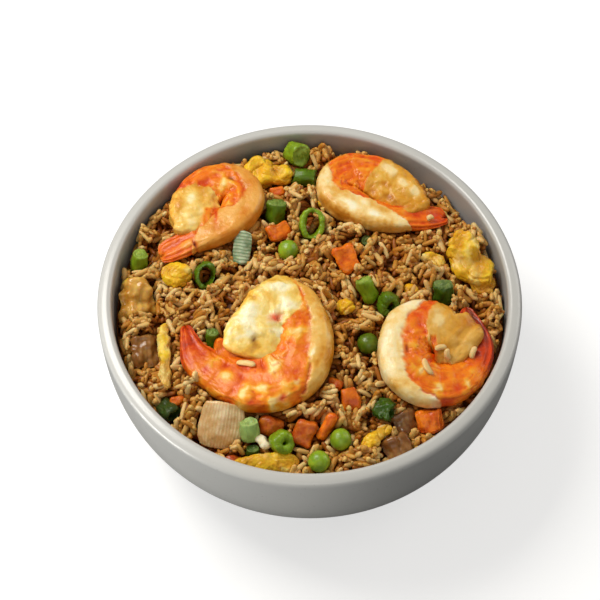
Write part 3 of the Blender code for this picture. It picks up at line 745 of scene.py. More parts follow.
def prawn_finish(name, flesh_tones, band_tones):
    finish, tree, shader = cooked(name, 0.34, 0.25, 0.16, 0.14, 0.12, 1.5)
    shader.inputs["Subsurface Radius"].default_value = (1.0, 0.4, 0.2)
    grain = speckle(tree, Scale=420.0, Detail=5.0, Roughness=0.62)
    stir = ranged(tree, grain, From_Min=0.3, From_Max=0.7, To_Min=-0.12, To_Max=0.12)
    tone = combined(tree, "ADD", mask(tree, "tone"), stir)
    colour = toned(tree, tone, BODY_TONES)
    # the dark colour is painted shade for the cracks
    for where, over in (
        ("tail", toned(tree, tone, TAIL_TONES)), ("band", toned(tree, tone, band_tones)),
        ("flesh", toned(tree, tone, flesh_tones)), ("red", (0.66, 0.055, 0.003)), ("dark", (0.14, 0.035, 0.008)),
    ):
        colour = blend(tree, mask(tree, where), colour, over)
    surfaced(tree, shader, colour, grain, Strength=0.45, Distance=0.0012)
    return finish


# torn flesh and band, each from dark to pale
PRAWN_TONES = {
    "prawn_back_left": (
        ((0.62, 0.22, 0.008), (0.78, 0.42, 0.06), (0.84, 0.57, 0.15), (0.90, 0.76, 0.40)),
        ((0.66, 0.21, 0.015), (0.76, 0.33, 0.05), (0.81, 0.42, 0.10), (0.88, 0.62, 0.27)),
    ),
    "prawn_back_right": (
        ((0.42, 0.13, 0.003), (0.64, 0.27, 0.015), (0.74, 0.41, 0.06), (0.86, 0.65, 0.30)),
        ((0.52, 0.18, 0.01), (0.76, 0.40, 0.07), (0.89, 0.66, 0.28), (0.95, 0.86, 0.60)),
    ),
    "prawn_middle": (
        ((0.52, 0.18, 0.01), (0.80, 0.46, 0.06), (0.86, 0.63, 0.18), (0.93, 0.83, 0.52)),
        ((0.64, 0.24, 0.01), (0.80, 0.42, 0.07), (0.87, 0.58, 0.18), (0.93, 0.78, 0.45)),
    ),
    "prawn_right": (
        ((0.56, 0.19, 0.008), (0.66, 0.31, 0.03), (0.74, 0.41, 0.08), (0.84, 0.59, 0.23)),
        ((0.72, 0.34, 0.03), (0.86, 0.58, 0.19), (0.92, 0.75, 0.40), (0.96, 0.88, 0.66)),
    ),
}
toppings = []


def topping(piece, name):
    belongs(piece, name)
    toppings.append(piece)


for name, form in PRAWNS.items():
    prawn = prawn_shape("cooked_" + name, form)
    prawn.data.materials.append(prawn_finish(name + "_flesh", *PRAWN_TONES[name]))
    topping(prawn, name)

# ---------------------------------------------------------------- peas
# Five green peas, boiled first, so that the skin is shiny and a little slack round the seed.
def wrinkled(piece, sizes):
    """Moves each point out or in by layers of noise: (wave length, height) in mm."""
    for point, normal in [(p, p.normal.copy()) for p in piece.data.vertices]:
        height = sum(tall * noise.noise(point.co / (wave * MM)) for wave, tall in sizes)
        point.co += normal * height * MM
    piece.data.update()


def set_down(piece, at, turn=(0, 0, 0)):
    """Turns the piece about X, Y, then Z, and puts it at a place in metres, applied."""
    bpy.ops.object.select_all(action="DESELECT")
    piece.select_set(True)
    bpy.context.view_layer.objects.active = piece
    piece.location = at
    piece.rotation_euler = [math.radians(angle) for angle in turn]
    bpy.ops.object.transform_apply(location=True, rotation=True, scale=True)


def middle_of(name):
    low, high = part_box(name)
    return (low + high) / 2


def mottled_finish(name, dark, light, scale, strength, distance, *surface):
    """Cooked food in one patchy colour, a little uneven where the patches are; distance in mm."""
    finish, tree, shader = cooked(name, *surface)
    tone = mottled(tree, dark, light, scale)
    surfaced(tree, shader, tone["Color"], tone["Mask"], Strength=strength, Distance=distance * MM)
    return finish


PEA_RADIUS = 4.1
PEA_DARK, PEA_LIGHT = (0.15, 0.27, 0.006), (0.30, 0.44, 0.016)
# how brightly each is lit: below 1 its green is darkened as painted shade
PEAS = {"pea_centre": 1.0, "pea_front_right": 0.9, "pea_front": 1.0, "pea_back": 0.5, "pea_sunk": 0.45}
for name, pea_light_share in PEAS.items():
    pea = start("green_" + name, bpy.ops.mesh.primitive_ico_sphere_add, subdivisions=5, radius=PEA_RADIUS * MM)
    set_down(pea, middle_of(name))
    wrinkled(pea, ((5.0, 0.25), (2.0, 0.10)))
    bpy.ops.object.shade_smooth()
    # the pea's colours are scaled by its light, as painted shade
    dark, light = ([value * pea_light_share for value in colour] for colour in (PEA_DARK, PEA_LIGHT))
    pea.data.materials.append(
        mottled_finish(name + "_skin", dark, light, 190.0, 0.25, 0.6, 0.34, 0.4, 0.12, 0.15, 0.2, 2.0)
    )
    topping(pea, name)

# ---------------------------------------------------------------- spring onions
# Short lengths sliced across the green leaf: dark and shiny outside with fine veins along them, and
# light green on the cut. The round ones stay open; the tender middles are rolled shut.
# across, tall, length and wall in mm (no wall: rolled shut), turns in degrees, colour, how crumpled
# the first green here is the leaf's own dark green, darkened further as painted shade
DARK_SHADED_GREEN, MID, FRESH = (0.030, 0.070, 0.003), (0.065, 0.125, 0.003), (0.15, 0.235, 0.006)
# the last green here is painted shade
FROSTY, SHADE_GREEN = (0.24, 0.36, 0.10), (0.025, 0.045, 0.005)
SPRING_ONIONS = {
    "spring_onion_ring": (10.0, 13.2, 5.0, 2.0, (32, 6, 0), FRESH, 0.7),
    "spring_onion_back": (9.0, 9.4, 8.0, 0.0, (62, 0, 38), FRESH, 0.7),
    "spring_onion_behind": (7.0, 7.0, 9.6, 0.0, (88, 0, 82), MID, 0.7),
    "spring_onion_by_prawn": (7.8, 6.6, 9.0, 0.0, (-28, 8, 0), MID, 0.8),
    "spring_onion_loop": (8.0, 10.0, 5.5, 1.0, (38, 24, 0), MID, 0.8),
    "spring_onion_curl": (5.0, 5.0, 8.5, 0.0, (-16, 0, 0), MID, 0.7),
    "spring_onion_light": (6.4, 6.0, 10.4, 0.0, (-24, -26, 0), FRESH, 0.8),
    "spring_onion_dark": (8.4, 9.2, 6.6, 2.6, (52, 14, 0), MID, 1.1),
    "spring_onion_upright": (7.8, 6.4, 8.5, 0.0, (-20, 0, 0), DARK_SHADED_GREEN, 0.9),
    "spring_onion_small": (4.2, 4.2, 4.6, 0.0, (30, 0, 0), DARK_SHADED_GREEN, 0.5),
    "spring_onion_crumpled": (8.4, 5.6, 7.4, 1.4, (76, 0, 62), DARK_SHADED_GREEN, 1.5),
    "spring_onion_frosty": (7.4, 6.4, 8.2, 0.0, (-30, 0, 8), FROSTY, 0.5),
    "spring_onion_shaded": (4.8, 4.4, 4.6, 0.0, (-16, 0, 0), DARK_SHADED_GREEN, 0.5),
    "spring_onion_bright": (8.8, 8.4, 8.6, 3.5, (44, 0, 34), FRESH, 0.9),
    "spring_onion_left": (7.2, 6.4, 8.0, 1.4, (70, 0, 40), SHADE_GREEN, 1.0),
    "spring_onion_edge": (6.4, 6.0, 8.0, 0.0, (-14, 12, 0), FRESH, 0.7),
}


def leaf_finish(name, dark, light, roughness):
    finish, tree, shader = cooked(name, roughness, 0.3, 0.1, 0.16, 0.12, 1.5)
    around = node(tree, "ShaderNodeTexCoord").outputs["UV"]
    stretched = node(tree, "ShaderNodeMapping", {"Vector": around}, Scale=(60.0, 1.2, 1.0)).outputs["Vector"]
    veins = node(tree, "ShaderNodeTexNoise", {"Vector": stretched}, Scale=1.0, Detail=2.0).outputs["Fac"]
    shown = ranged(tree, veins, From_Min=0.50, From_Max=0.70, To_Max=0.8)
    veined = blend(tree, shown, mottled(tree, dark, light, 300.0, 0.5, 0.14)["Color"], light)
    surfaced(tree, shader, veined, veins, Strength=0.45, Distance=0.0006)
    return finish


def sized(piece, size):
    """Makes a primitive that measures 1 this long, wide and tall in mm."""
    piece.scale = Vector(size) * MM
    bpy.ops.object.transform_apply(location=False, rotation=False, scale=True)


def cut_up(cuts):
    bpy.ops.object.mode_set(mode="EDIT")
    bpy.ops.mesh.select_all(action="SELECT")
    bpy.ops.mesh.subdivide(number_cuts=cuts)
    bpy.ops.object.mode_set(mode="OBJECT")


def worked(piece, kind, **settings):
    """Adds one modifier with these settings and applies it."""
    change = piece.modifiers.new(kind, kind)
    for setting, value in settings.items():
        setattr(change, setting, value)
    bpy.ops.object.modifier_apply(modifier=change.name)


OUTSIDE, INSIDE, CUT = 0, 1, 2
CUT_GREEN = (0.80, 0.90, 0.30)
PROUD = {"spring_onion_ring": 1.6}
for name, (across, tall, length, wall, turn, green, crumple) in SPRING_ONIONS.items():
    leaf = start(
        "sliced_" + name, bpy.ops.mesh.primitive_cylinder_add, vertices=16, radius=0.5, depth=1.0,
        end_fill_type="NOTHING" if wall else "TRIFAN",
    )
    sized(leaf, (across, tall, length))
    cut_up(3)
    if wall:
        worked(
            leaf, "SOLIDIFY", thickness=wall * MM, offset=-1.0, material_offset=INSIDE, material_offset_rim=CUT,
        )
    else:
        for face in leaf.data.polygons:
            face.material_index = CUT if abs(face.normal.z) > 0.7 else OUTSIDE
        for point in leaf.data.vertices:
            rolled = math.hypot(point.co.x / across, point.co.y / tall) / MM * 2
            angle = math.atan2(point.co.y, point.co.x)
            if abs(point.co.z) > 0.49 * length * MM and rolled < 0.95:
                point.co.z -= math.copysign(0.5 + 0.5 * math.sin(angle + 9.0 * rolled), point.co.z) * MM
    worked(leaf, "SUBSURF", levels=1, render_levels=1)
    set_down(leaf, middle_of(name) + Vector((0, 0, PROUD.get(name, 0.0) * MM)), turn)
    wrinkled(leaf, ((4.0, 1.2 * crumple), (1.5, 0.5 * crumple)))
    bpy.ops.object.shade_smooth()
    light = tuple(min(0.8, 1.55 * value) for value in green)
    cut = tuple(0.6 * value + 0.14 * pale for value, pale in zip(light, CUT_GREEN))
    brighter, brightest = (tuple(by * value for value in cut) for by in (1.2, 1.3))
    for part, colours, roughness in (
        ("_outside", (green, light), 0.32), ("_inside", (cut, brighter), 0.4), ("_cut", (green, brightest), 0.45),
    ):
        leaf.data.materials.append(leaf_finish(name + part, *colours, roughness))
    topping(leaf, name)

# ---------------------------------------------------------------- carrot
# Carrot diced by hand and fried in oil, so the edges are soft and the faces glossy. long, wide and
# thick in mm, turns in degrees, how brightly it is lit (below 1 it is darkened as painted shade), and how proud
# it stands
CARROTS = {
    "carrot_centre": ((8.6, 10.4, 5.4), (34, -8, 24), 1.0, 0.3),
    "carrot_back": ((9.6, 6.6, 4.6), (24, 10, 30), 0.9, 0.0),
    "carrot_far": ((6.6, 4.2, 3.2), (30, 0, 12), 0.9, 0.3),
    "carrot_curl": ((12.4, 7.6, 5.6), (24, 6, -6), 1.0, 2.6),
    "carrot_front_left": ((9.4, 6.6, 5.0), (30, 0, -8), 0.6, 0.3),
    "carrot_front": ((7.4, 9.4, 5.4), (36, 8, -18), 0.75, 0.0),
    "carrot_slice": ((3.2, 11.4, 5.4), (30, 0, -34), 1.0, 0.0),
    "carrot_middle": ((6.4, 9.0, 5.0), (26, 0, 12), 0.85, -0.4),
    "carrot_ribbed": ((9.8, 8.6, 6.0), (28, -6, 8), 1.0, 0.4),
    "carrot_edge": ((8.6, 4.6, 3.8), (34, 6, -14), 0.75, 0.4),
}


def carrot_flesh(name, carrot_light_share):
    # the colours are scaled by the piece's light: below 1 is painted shade
    dark, light = (0.62 * carrot_light_share, 0.085 * carrot_light_share, 0.002), (0.90 * carrot_light_share, 0.22 * carrot_light_share, 0.005)
    return mottled_finish(name + "_flesh", dark, light, 300.0, 0.35, 0.7, 0.34, 0.3, 0.15, 0.15, 0.15, 2.0)


RIB_HEIGHT, RIB_GAP = 0.35, 1.7
RIBBED_ROUND = 6.2
for name, (size, turn, carrot_light_share, proud) in CARROTS.items():
    dice = start("diced_" + name, bpy.ops.mesh.primitive_cube_add, size=1.0)
    sized(dice, size)
    worked(dice, "BEVEL", width=1.3 * MM, segments=3)
    cut_up(6)
    if name == "carrot_ribbed":
        for point in dice.data.vertices:
            x, y, z = point.co / MM
            rib = RIB_HEIGHT * math.cos(x * 2 * math.pi / RIB_GAP) * soft_step(-1.5, 1.0, z)
            point.co.z = (z * math.sqrt(max(0.1, 1.0 - (x / RIBBED_ROUND) ** 2)) + rib) * MM
    set_down(dice, middle_of(name) + Vector((0, 0, proud * MM)), turn)
    wrinkled(dice, ((6.0, 1.5), (2.2, 0.5), (1.0, 0.15)))
    bpy.ops.object.shade_smooth()
    dice.data.materials.append(carrot_flesh(name, carrot_light_share))
    topping(dice, name)

# ---------------------------------------------------------------- loose bits
# Small pieces broken off in the pan and half sunk in the rice: carrot, egg yolk, and one of egg
# white. x, y, long and wide in mm, and the turn in degrees
BITS = {
    "carrot_bits": ((-50.0, -43.0, 5.2, 3.4, 20), (9.6, -37.4, 5.6, 4.0, -30)),
    "egg_bits": ((-72.0, 10.0, 4.6, 3.4, 70), (44.0, -6.0, 4.4, 3.0, 20), (5.0, 46.0, 3.6, 3.0, 0)),
    "egg_white_bit": ((-17.6, -60.6, 7.6, 3.6, -52),),
}
BIT_THICK = 3.4


def squared(piece, power):
    """Turns a ball that measures 1 across towards a cube; the lower the power, the squarer."""
    for point in piece.data.vertices:
        point.co = Vector([math.copysign(abs(2 * value) ** power / 2, value) for value in point.co])


for name, places in BITS.items():
    bits = []
    for x, y, long, wide, turn in places:
        bit = start(name, bpy.ops.mesh.primitive_ico_sphere_add, subdivisions=4, radius=0.5)
        squared(bit, 0.7)
        sized(bit, (long, wide, BIT_THICK))
        set_down(bit, Vector((x, y, heap_level(x, y) + 1.2)) * MM, (20, 0, turn))
        wrinkled(bit, ((3.4, 0.9), (1.4, 0.3)))
        bpy.ops.object.shade_smooth()
        bits.append(bit)
    bpy.ops.object.select_all(action="DESELECT")
    for bit in bits:
        bit.select_set(True)
    bpy.context.view_layer.objects.active = bits[0]
    if len(bits) > 1:
        bpy.ops.object.join()
    if name == "carrot_bits":
        # the broken carrot is darkened to 0.8 as painted shade
        bits[0].data.materials.append(carrot_flesh(name, 0.8))
        topping(bits[0], "rice")
    else:
        dark, light = (0.72, 0.36, 0.01), (0.90, 0.60, 0.06)
        if name == "egg_white_bit":
            dark, light = (0.80, 0.66, 0.38), (0.92, 0.84, 0.62)
        bits[0].data.materials.append(
            mottled_finish(name + "_curds", dark, light, 260.0, 0.35, 0.7, 0.42, 0.3, 0.0, 0.03, 0.15, 2.0)
        )
        topping(bits[0], "rice")

# ---------------------------------------------------------------- egg
# Egg scrambled in the pan and torn up: soft folded sheets of yellow with paler patches of white,
# painted brown in the folds and hollows as shade. long, wide and thick in mm, turns, how deep the folds are, how
# pale
EGGS = {
    "egg_back": ((19.0, 11.0, 7.6), (24, 4, -14), 1.1, 0.1),
    "egg_right": ((13.0, 27.0, 8.0), (20, -14, 28), 1.1, 0.35),
    "egg_left": ((12.4, 9.0, 6.4), (26, 0, -8), 0.8, 0.1),
    "egg_strip_left": ((4.8, 28.0, 4.6), (6, 10, 4), 0.5, 0.7),
    "egg_strip_front": ((25.0, 6.6, 4.4), (28, 2, 4), 0.45, 0.3),
    "egg_sliver": ((15.0, 4.6, 3.8), (26, 0, 46), 0.7, 0.3),
    "egg_small": ((7.6, 5.2, 3.4), (24, 0, -24), 0.7, 0.3),
    "egg_tan": ((9.0, 7.0, 4.4), (24, 0, 12), 0.8, 0.5),
    "egg_crumb": ((5.4, 4.6, 3.4), (20, 0, 0), 0.6, 0.3),
}
# without a seed of its own, noise_vector is offset by the clock
FOLD_SEED = 5
noise.seed_set(FOLD_SEED)
for name, (size, turn, depth, pale) in EGGS.items():
    egg = start("scrambled_" + name, bpy.ops.mesh.primitive_ico_sphere_add, subdivisions=6, radius=0.5)
    squared(egg, 0.8)
    sized(egg, size)
    set_down(egg, middle_of(name), turn)
    creased = []
    for point, normal in [(p, p.normal.copy()) for p in egg.data.vertices]:
        bent = point.co + noise.noise_vector(point.co / (7.0 * MM)) * 2.0 * MM
        fold = 1.0 - min(1.0, abs(noise.noise(bent / (6.5 * MM))) * 5.0)
        small = 1.0 - min(1.0, abs(noise.noise(bent / (3.0 * MM) + Vector((9, 0, 4)))) * 4.0)
        height = depth * (2.6 * noise.noise(point.co / (5.5 * MM)) - 0.8 * fold**2 - 0.2 * small**2 + 0.3)
        height += 0.6 * noise.noise(point.co / (2.4 * MM)) + 0.2 * noise.noise(point.co / (0.9 * MM))
        point.co += normal * height * MM
        creased.append(max(0.7 * fold, 0.5 - 2.0 * noise.noise(point.co / (5.5 * MM))))
    egg.data.attributes.new("crease", "FLOAT", "POINT").data.foreach_set("value", creased)
    egg.data.update()
    bpy.ops.object.shade_smooth()
    curds, tree, shader = cooked(name + "_curds", 0.42, 0.3, 0.08, 0.2, 0.15, 2.0)
    yellow = mottled(tree, (0.76, 0.38, 0.006), (0.92, 0.62, 0.022), 190.0)["Color"]
    white = mottled(tree, (0, 0, 0), (1, 1, 1), 150.0, 0.75 - 0.4 * pale, 0.1)["Mask"]
    paled = blend(tree, white, yellow, (0.90, 0.73, 0.24))
    # the crease mask is high in the folds and low places, which are painted brown as shade
    folds = combined(tree, "MULTIPLY", mask(tree, "crease"), 0.55)
    brown_fold_shade = blend(tree, folds, paled, (0.56, 0.23, 0.012))
    surfaced(tree, shader, brown_fold_shade, speckle(tree, Scale=600.0, Detail=4.0), Strength=0.4, Distance=0.0010)
    egg.data.materials.append(curds)
    topping(egg, name)

# ---------------------------------------------------------------- onion
# Petals of onion cooked soft: thin bent sheets, clear enough to take the colour of the rice
# behind, with fine parallel fibres. wide, long, thick and bow in mm, turns, dark and light colour,
# how many fibres, and how crumpled it is
ONIONS = {
    "onion_petal": ((17.4, 18.0, 1.8, 1.8), (40, 8, -6), (0.62, 0.34, 0.11), (0.88, 0.68, 0.38), 9.0, 0.4),
    "onion_golden": ((13.0, 16.0, 3.0, 3.0), (22, 14, 10), (0.48, 0.20, 0.015), (0.76, 0.46, 0.10), 2.6, 2.4),
    "onion_brown": ((10.0, 12.0, 2.4, 1.8), (24, 10, 12), (0.20, 0.07, 0.010), (0.36, 0.17, 0.04), 4.0, 2.0),
    "onion_sunk": ((7.6, 7.4, 2.4, 1.6), (30, 0, 24), (0.15, 0.05, 0.010), (0.30, 0.14, 0.04), 3.0, 1.8),
    "onion_front": ((10.0, 8.0, 2.4, 1.8), (26, 0, 30), (0.20, 0.07, 0.012), (0.40, 0.20, 0.06), 3.0, 1.8),
    "onion_ribbed": ((7.2, 13.4, 0.9, 0.8), (36, 8, -4), (0.14, 0.24, 0.11), (0.60, 0.70, 0.46), 6.4, 0.3),
}
# how far a petal lies from the middle of its place, in mm
ONION_MOVES = {"onion_petal": (2.2, 1.4, 0.8), "onion_ribbed": (-1.6, 1.6, 1.2)}
for name, ((wide, long, thick, bow), turn, dark, light, fibres, crumple) in ONIONS.items():
    ribbed = name == "onion_ribbed"
    petal = start("cut_" + name, bpy.ops.mesh.primitive_grid_add, x_subdivisions=22, y_subdivisions=22, size=1.0)
    for point in petal.data.vertices:
        across, down = point.co.x * 2, point.co.y * 2
        narrow = 1.0 - 0.14 * down * down
        round_off = 1.0 - 0.12 * (across * down) ** 2
        ragged = 1.0 + 0.09 * crumple * noise.noise(Vector((across * 1.7, down * 1.7, wide + long)))
        point.co *= round_off * ragged
        bend = bow * (0.5 - across * across) - 0.4 * bow * down * down
        point.co = Vector((point.co.x * wide * narrow, point.co.y * long, bend)) * MM
    worked(petal, "SOLIDIFY", thickness=thick * MM, offset=0.0)
    worked(petal, "SUBSURF", levels=1, render_levels=1)
    set_down(petal, middle_of(name) + Vector(ONION_MOVES.get(name, (0, 0, 0))) * MM, turn)
    wrinkled(petal, ((6.0, 1.2 * crumple), (2.4, 0.4 * crumple)))
    bpy.ops.object.shade_smooth()
    clear, tree, shader = cooked(name + "_sheet", 0.28, 0.35, 0.2, 0.14, 0.25, 3.0)
    sheet = node(tree, "ShaderNodeTexCoord").outputs["UV"]
    lines = node(
        tree, "ShaderNodeTexWave", {"Vector": sheet}, Scale=fibres * 0.5, Distortion=1.6, Detail=2.0,
        bands_direction="Y" if ribbed else "X",
    ).outputs["Fac"]
    shown = ranged(tree, lines, From_Min=0.40, To_Max=0.8 if ribbed else 0.4)
    lined = blend(tree, shown, mottled(tree, dark, light, 170.0)["Color"], dark)
    surfaced(tree, shader, lined, lines, Strength=0.15, Distance=0.0004)
    petal.data.materials.append(clear)
    topping(petal, name)

# ---------------------------------------------------------------- rice grains
# Long grains, fried in oil and soy until they are separate and shiny. Each is laid down on what
# is there already, leans on its two highest points, and gives way to the toppings.
GRAIN_LENGTH = (5.2, 8.2)
GRAIN_WIDTH = (2.0, 2.6)
CRUMB_LENGTH = (1.3, 2.6)
GRAIN_TRIES = 60000
CRUMB_TRIES = 2200
SPREAD_RADIUS = 75.0
WALL_RADIUS = 75.9
LOOSE_LIFT = 0.9
SEAT = 0.42
STEEPEST = 1.15
SUNK = 0.25
GRAIN_ROOM = 1.3
GRAIN_OVER = 0.9
GRAIN_LEAN = 0.36
GRAIN_CLEAR = 0.8
GRAIN_SWAY, GRAIN_SWING = 5.0, 0.7
CRUMB_LEAN = 0.8
CRUMB_CLEAR = 0.5
NEAR_TOPPING = 0.012
LEVEL_CELLS = 9
rng = np.random.default_rng(7)
TEMPLATE_RINGS = ((-0.93, 0.55), (-0.66, 0.92), (0.0, 1.0), (0.64, 0.95), (0.93, 0.58))
GRAIN_SIDES = 6
GRAIN_FLATNESS = 0.41


def grain_template():
    """One grain, 1 long and 1 across at its fullest: points and faces."""
    points = [(-1.0, 0.0, 0.0)]
    for share, girth in TEMPLATE_RINGS:
        for k in range(GRAIN_SIDES):
            angle = 2 * math.pi * k / GRAIN_SIDES
            points.append((share, girth * math.cos(angle), girth * math.sin(angle)))
    points.append((1.0, 0.0, 0.0))
    faces = []
    for k in range(GRAIN_SIDES):
        after = (k + 1) % GRAIN_SIDES
        faces.append((0, 1 + after, 1 + k))
        for ring in range(len(TEMPLATE_RINGS) - 1):
            near, far = 1 + ring * GRAIN_SIDES, 1 + (ring + 1) * GRAIN_SIDES
            faces.append((near + k, near + after, far + after, far + k))
        faces.append((len(points) - 1, len(points) - 1 - GRAIN_SIDES + k, len(points) - 1 - GRAIN_SIDES + after))
    return np.array(points), faces


def resting(reach, heights):
    """Height and slope of a bar that lies on these heights, along its reach either way."""
    best = None
    for a in [i for i in range(len(reach)) if reach[i] <= 0]:
        for b in [i for i in range(len(reach)) if reach[i] >= 0]:
            if a == b:
                height, slope = heights[a], 0.0
            else:
                slope = (heights[b] - heights[a]) / (reach[b] - reach[a])
                height = heights[a] - slope * reach[a]
            if best is None or height > best[0]:
                best = (height, slope)
    return best


topping_tree = shape_tree(toppings)
count = len(core_top)
field = core_top.copy()
ways = np.arange(count) * CELL - REACH
grid_x, grid_y = np.meshgrid(ways, ways)
SAMPLES = np.linspace(-0.86, 0.86, 7)
BOX = 8


def tumbled(x, y):
    """How much higher or lower than usual the loose top grains are heaped here, in mm."""
    heaps = noise.noise(Vector((x / 9.0, y / 9.0, 5.0)))
    return 6.4 * heaps + 3.4 * noise.noise(Vector((x / 4.2, y / 4.2, 9.0)))


target = outline + LOOSE_LIFT + np.array([[tumbled(x, y) for x in ways] for y in ways])


def pointing(yaw, pitch):
    return Vector((math.cos(yaw) * math.cos(pitch), math.sin(yaw) * math.cos(pitch), math.sin(pitch)))


def lay(x, y, yaw, length, width, push):
    """Lays one grain on the field at this place: (height, the way it points), or None past the wall."""
    half = length / 2
    reach = SAMPLES * half
    px = x + reach * math.cos(yaw)
    py = y + reach * math.sin(yaw)
    if np.max(np.hypot(px, py)) > WALL_RADIUS:
        return None
    under = width * SEAT * np.sqrt(1 - SAMPLES**2)
    height, slope = resting(reach, field[cell(py), cell(px)] + under)
    pitch = max(-STEEPEST, min(STEEPEST, math.atan(slope) + push))
    return height - SUNK - 0.35 * half * abs(math.sin(push)), pointing(yaw, pitch)


def clear_of_toppings(centre, way, half, girth):
    for share in (-0.85, -0.45, 0.0, 0.45, 0.85):
        point = centre + way * half * share
        near, normal, _, far = topping_tree.find_nearest(point * MM, NEAR_TOPPING)
        if near is None:
            continue
        if far < girth * MM or (point * MM - near).dot(normal) < 0:
            return False
    return True


def settle(pile, centre, way, length, width, tint):
    """Adds the grain to its pile and raises the field where it now lies."""
    pile.append((centre, way, length, width, tint))
    half = length / 2
    row, column = cell(centre.y), cell(centre.x)
    near = np.s_[max(0, row - BOX):row + BOX + 1, max(0, column - BOX):column + BOX + 1]
    dx, dy = grid_x[near] - centre.x, grid_y[near] - centre.y
    flat = math.hypot(way.x, way.y)
    ux, uy = way.x / flat, way.y / flat
    down = (dx * ux + dy * uy) / (half * flat)
    side = (-dx * uy + dy * ux) / (width / 2)
    inside = 1.0 - down**2 - side**2
    top = centre.z + down * half * way.z + width * SEAT * np.sqrt(np.maximum(inside, 0.0))
    patch = field[near]
    np.copyto(patch, np.maximum(patch, top), where=inside > 0)


def between(limits, share):
    return limits[0] + (limits[1] - limits[0]) * share


grains, loose, crumbs = [], [], []
drawn = rng.uniform(size=(GRAIN_TRIES, 5))
swings = rng.normal(size=(GRAIN_TRIES, 2))
for (across, down, longer, wider, tint), (swing, push) in zip(drawn, swings):
    x, y = (2 * across - 1) * SPREAD_RADIUS, (2 * down - 1) * SPREAD_RADIUS
    here = cell(y), cell(x)
    if math.hypot(x, y) > 74.8 or target[here] - field[here] < GRAIN_ROOM:
        continue
    yaw = GRAIN_SWAY * noise.noise(Vector((x / 10.0, y / 10.0, 2.0))) + GRAIN_SWING * swing
    length, width = between(GRAIN_LENGTH, longer), between(GRAIN_WIDTH, wider)
    laid = lay(x, y, yaw, length, width, GRAIN_LEAN * push)
    if laid is None or laid[0] > target[here] + GRAIN_OVER:
        continue
    centre, way = Vector((x, y, laid[0])), laid[1]
    if clear_of_toppings(centre, way, length / 2, GRAIN_CLEAR):
        settle(grains, centre, way, length, width, tint)
bare = field.copy()
level = spread(bare, LEVEL_CELLS, lambda parts: np.mean(parts, axis=0))
topping_top = looked_down(topping_tree, -1.0)
field = np.maximum(field, topping_top)
STUCK_WIDTH, STUCK_TINT = 2.5, 0.9
# x, y, yaw and length in mm of the grains that stick to the tops of the toppings
STUCK = (
    (-24.0, -32.6, -0.3, 8.0), (49.6, -25.6, 0.4, 5.0), (52.2, -27.9, 1.9, 4.6), (44.3, -34.2, 2.1, 7.0),
    (62.2, -25.5, 1.2, 5.0), (14.1, 33.6, 0.1, 8.0), (48.0, 36.5, 0.5, 3.0), (18.5, 12.8, 0.7, 3.4),
    (-45.3, -38.3, 0.5, 6.0), (-43.0, -37.0, 2.0, 5.0), (-46.0, -40.5, 1.0, 5.0),
)
for x, y, yaw, length in STUCK:
    laid = lay(x, y, yaw, length, STUCK_WIDTH, 0.0)
    if laid is not None:
        settle(loose, Vector((x, y, laid[0])), laid[1], length, STUCK_WIDTH, STUCK_TINT)
# broken bits of rice and egg that cling to the heap
drawn = rng.uniform(size=(CRUMB_TRIES, 6))
for across, down, swing, longer, wider, tint in drawn:
    x, y, yaw = (2 * across - 1) * SPREAD_RADIUS, (2 * down - 1) * SPREAD_RADIUS, swing * math.pi
    length = between(CRUMB_LENGTH, longer)
    width = (0.65 + 0.3 * wider) * length
    here = cell(y), cell(x)
    if math.hypot(x, y) > 74.0 or max(topping_top[here], level[here] - 0.4) > bare[here]:
        continue
    laid = lay(x, y, yaw, length, width, CRUMB_LEAN * (tint - 0.5))
    if laid is not None and clear_of_toppings(Vector((x, y, laid[0])), laid[1], length / 2, CRUMB_CLEAR):
        settle(crumbs, Vector((x, y, laid[0])), laid[1], length, width, tint)

points, faces = grain_template()
surface = field.copy()


def grain_piece(name, chosen):
    """All the grains of one kind as one mesh, each with its own tint and its depth in the heap."""
    coords, tints, depths = [], [], []
    for centre, way, length, width, tint in chosen:
        side = Vector((0, 0, 1)).cross(way).normalized()
        up = way.cross(side)
        roll = tint * 7.0
        wide = side * math.cos(roll) + up * math.sin(roll)
        flat = wide.cross(way)
        bow = 0.5 * math.sin(tint * 40.0)
        local = points * np.array([length / 2, width / 2, width * GRAIN_FLATNESS])
        local[:, 1] += bow * (points[:, 0] ** 2 - 0.4)
        basis = np.array([way, wide, flat])
        coords.append(local @ basis + np.array(centre))
        here = cell(centre.y), cell(centre.x)
        tints += [tint] * len(points)
        sunk = max(float(surface[here] - centre.z) - 0.8, float(level[here] - centre.z) - 0.3)
        depths += [max(0.0, sunk)] * len(points)
    coords = np.concatenate(coords) * MM
    mesh = bpy.data.meshes.new(name)
    all_faces = [tuple(i + len(points) * n for i in face) for n in range(len(chosen)) for face in faces]
    mesh.from_pydata(coords.tolist(), [], all_faces)
    mesh.attributes.new("tint", "FLOAT", "POINT").data.foreach_set("value", tints)
    mesh.attributes.new("depth", "FLOAT", "POINT").data.foreach_set("value", depths)
    mesh.shade_smooth()
    piece = bpy.data.objects.new(name, mesh)
    bpy.context.scene.collection.objects.link(piece)
    return piece


def grain_finish(name, dark, light, deep_shade):
    finish, tree, shader = cooked(name, 0.46, 0.3, 0.05, 0.2, 0.2, 1.5)
    tone = blend(tree, mask(tree, "tint"), dark, light)
    sauce = mottled(tree, (0, 0, 0), (1, 1, 1), 350.0, 0.55, 0.15)["Mask"]
    sauced = blend(tree, combined(tree, "MULTIPLY", sauce, 0.45), tone, dark)
    # grains sunk deep in the heap are painted towards the darker colour, as shade
    sunk = ranged(tree, mask(tree, "depth"), From_Max=2.6, To_Max=0.92)
    tree.links.new(blend(tree, sunk, sauced, deep_shade), shader.inputs["Base Color"])
    return finish
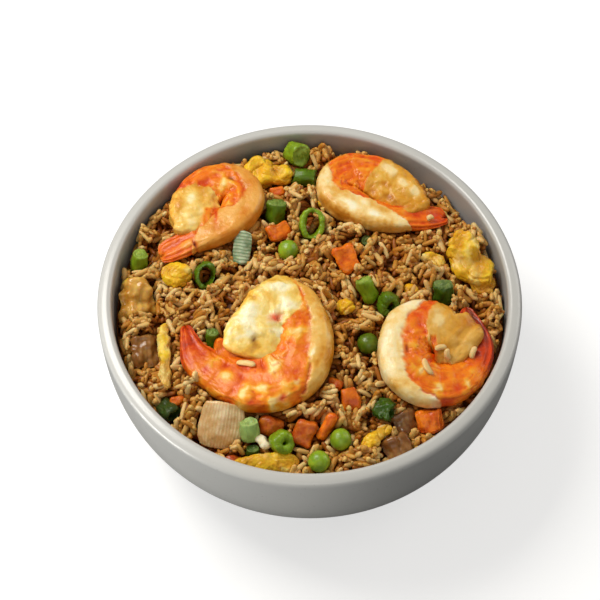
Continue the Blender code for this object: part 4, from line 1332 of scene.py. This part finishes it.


# dark, light, and the painted shade of the grains sunk deep in the heap
KINDS = {
    "rice_golden": ((0.50, 0.20, 0.018), (0.66, 0.36, 0.075), (0.30, 0.075, 0.003)),
    "rice_pale": ((0.66, 0.38, 0.09), (0.84, 0.62, 0.27), (0.42, 0.13, 0.006)),
    "rice_brown": ((0.30, 0.085, 0.004), (0.48, 0.18, 0.018), (0.22, 0.05, 0.002)),
    "rice_crumbs": ((0.52, 0.22, 0.020), (0.80, 0.53, 0.16), (0.30, 0.075, 0.003)),
}
shares = {"rice_brown": 0.30, "rice_golden": 0.38, "rice_pale": 0.32}
# x, y, reach in mm, and how much: where the rice is paler, or browner
PATCHES = (
    (-36.0, 8.0, 16.0, 0.42), (-44.0, 48.0, 9.0, 0.2), (-2.0, 50.0, 9.0, 0.18), (16.0, -44.0, 12.0, 0.12),
    (40.0, 16.0, 16.0, -0.14), (-52.0, -40.0, 12.0, -0.22), (-62.0, -12.0, 12.0, -0.14),
    (18.0, -16.0, 15.0, -0.16),
)


def patch_shift_here(place):
    """How much paler or browner the rice is at a place."""
    return sum(
        much * math.exp(-((place.x - x) ** 2 + (place.y - y) ** 2) / reach**2) for x, y, reach, much in PATCHES
    )


def paleness(grain):
    """Where a grain falls between brown at 0 and pale at 1: the low ones are painted browner as shade, the proud
    ones paler as painted light.
    """
    place, tint = grain[0], grain[4]
    proud = max(-2.5, min(2.5, place.z + 0.8 - float(level[cell(place.y), cell(place.x)])))
    much = 0.50 * ((tint * 37.0) % 1.0) + 0.25 + 0.45 * noise.noise(place / 6.0)
    return min(0.999, max(0.0, much + patch_shift_here(place) + 0.15 * proud))


draws = [paleness(grain) for grain in grains]
low = 0.0
for name in (*shares, "rice_crumbs"):
    dark, light, deep_shade = KINDS[name]
    high = low + shares.get(name, 0.0)
    chosen = [grain for grain, draw in zip(grains, draws) if low <= draw < high]
    chosen += {"rice_pale": loose, "rice_crumbs": crumbs}.get(name, [])
    low = high
    kind = grain_piece(name, chosen)
    kind.data.materials.append(grain_finish(name + "_grain", dark, light, deep_shade))
    belongs(kind, "rice")

# ---------------------------------------------------------------- sizes
low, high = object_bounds()
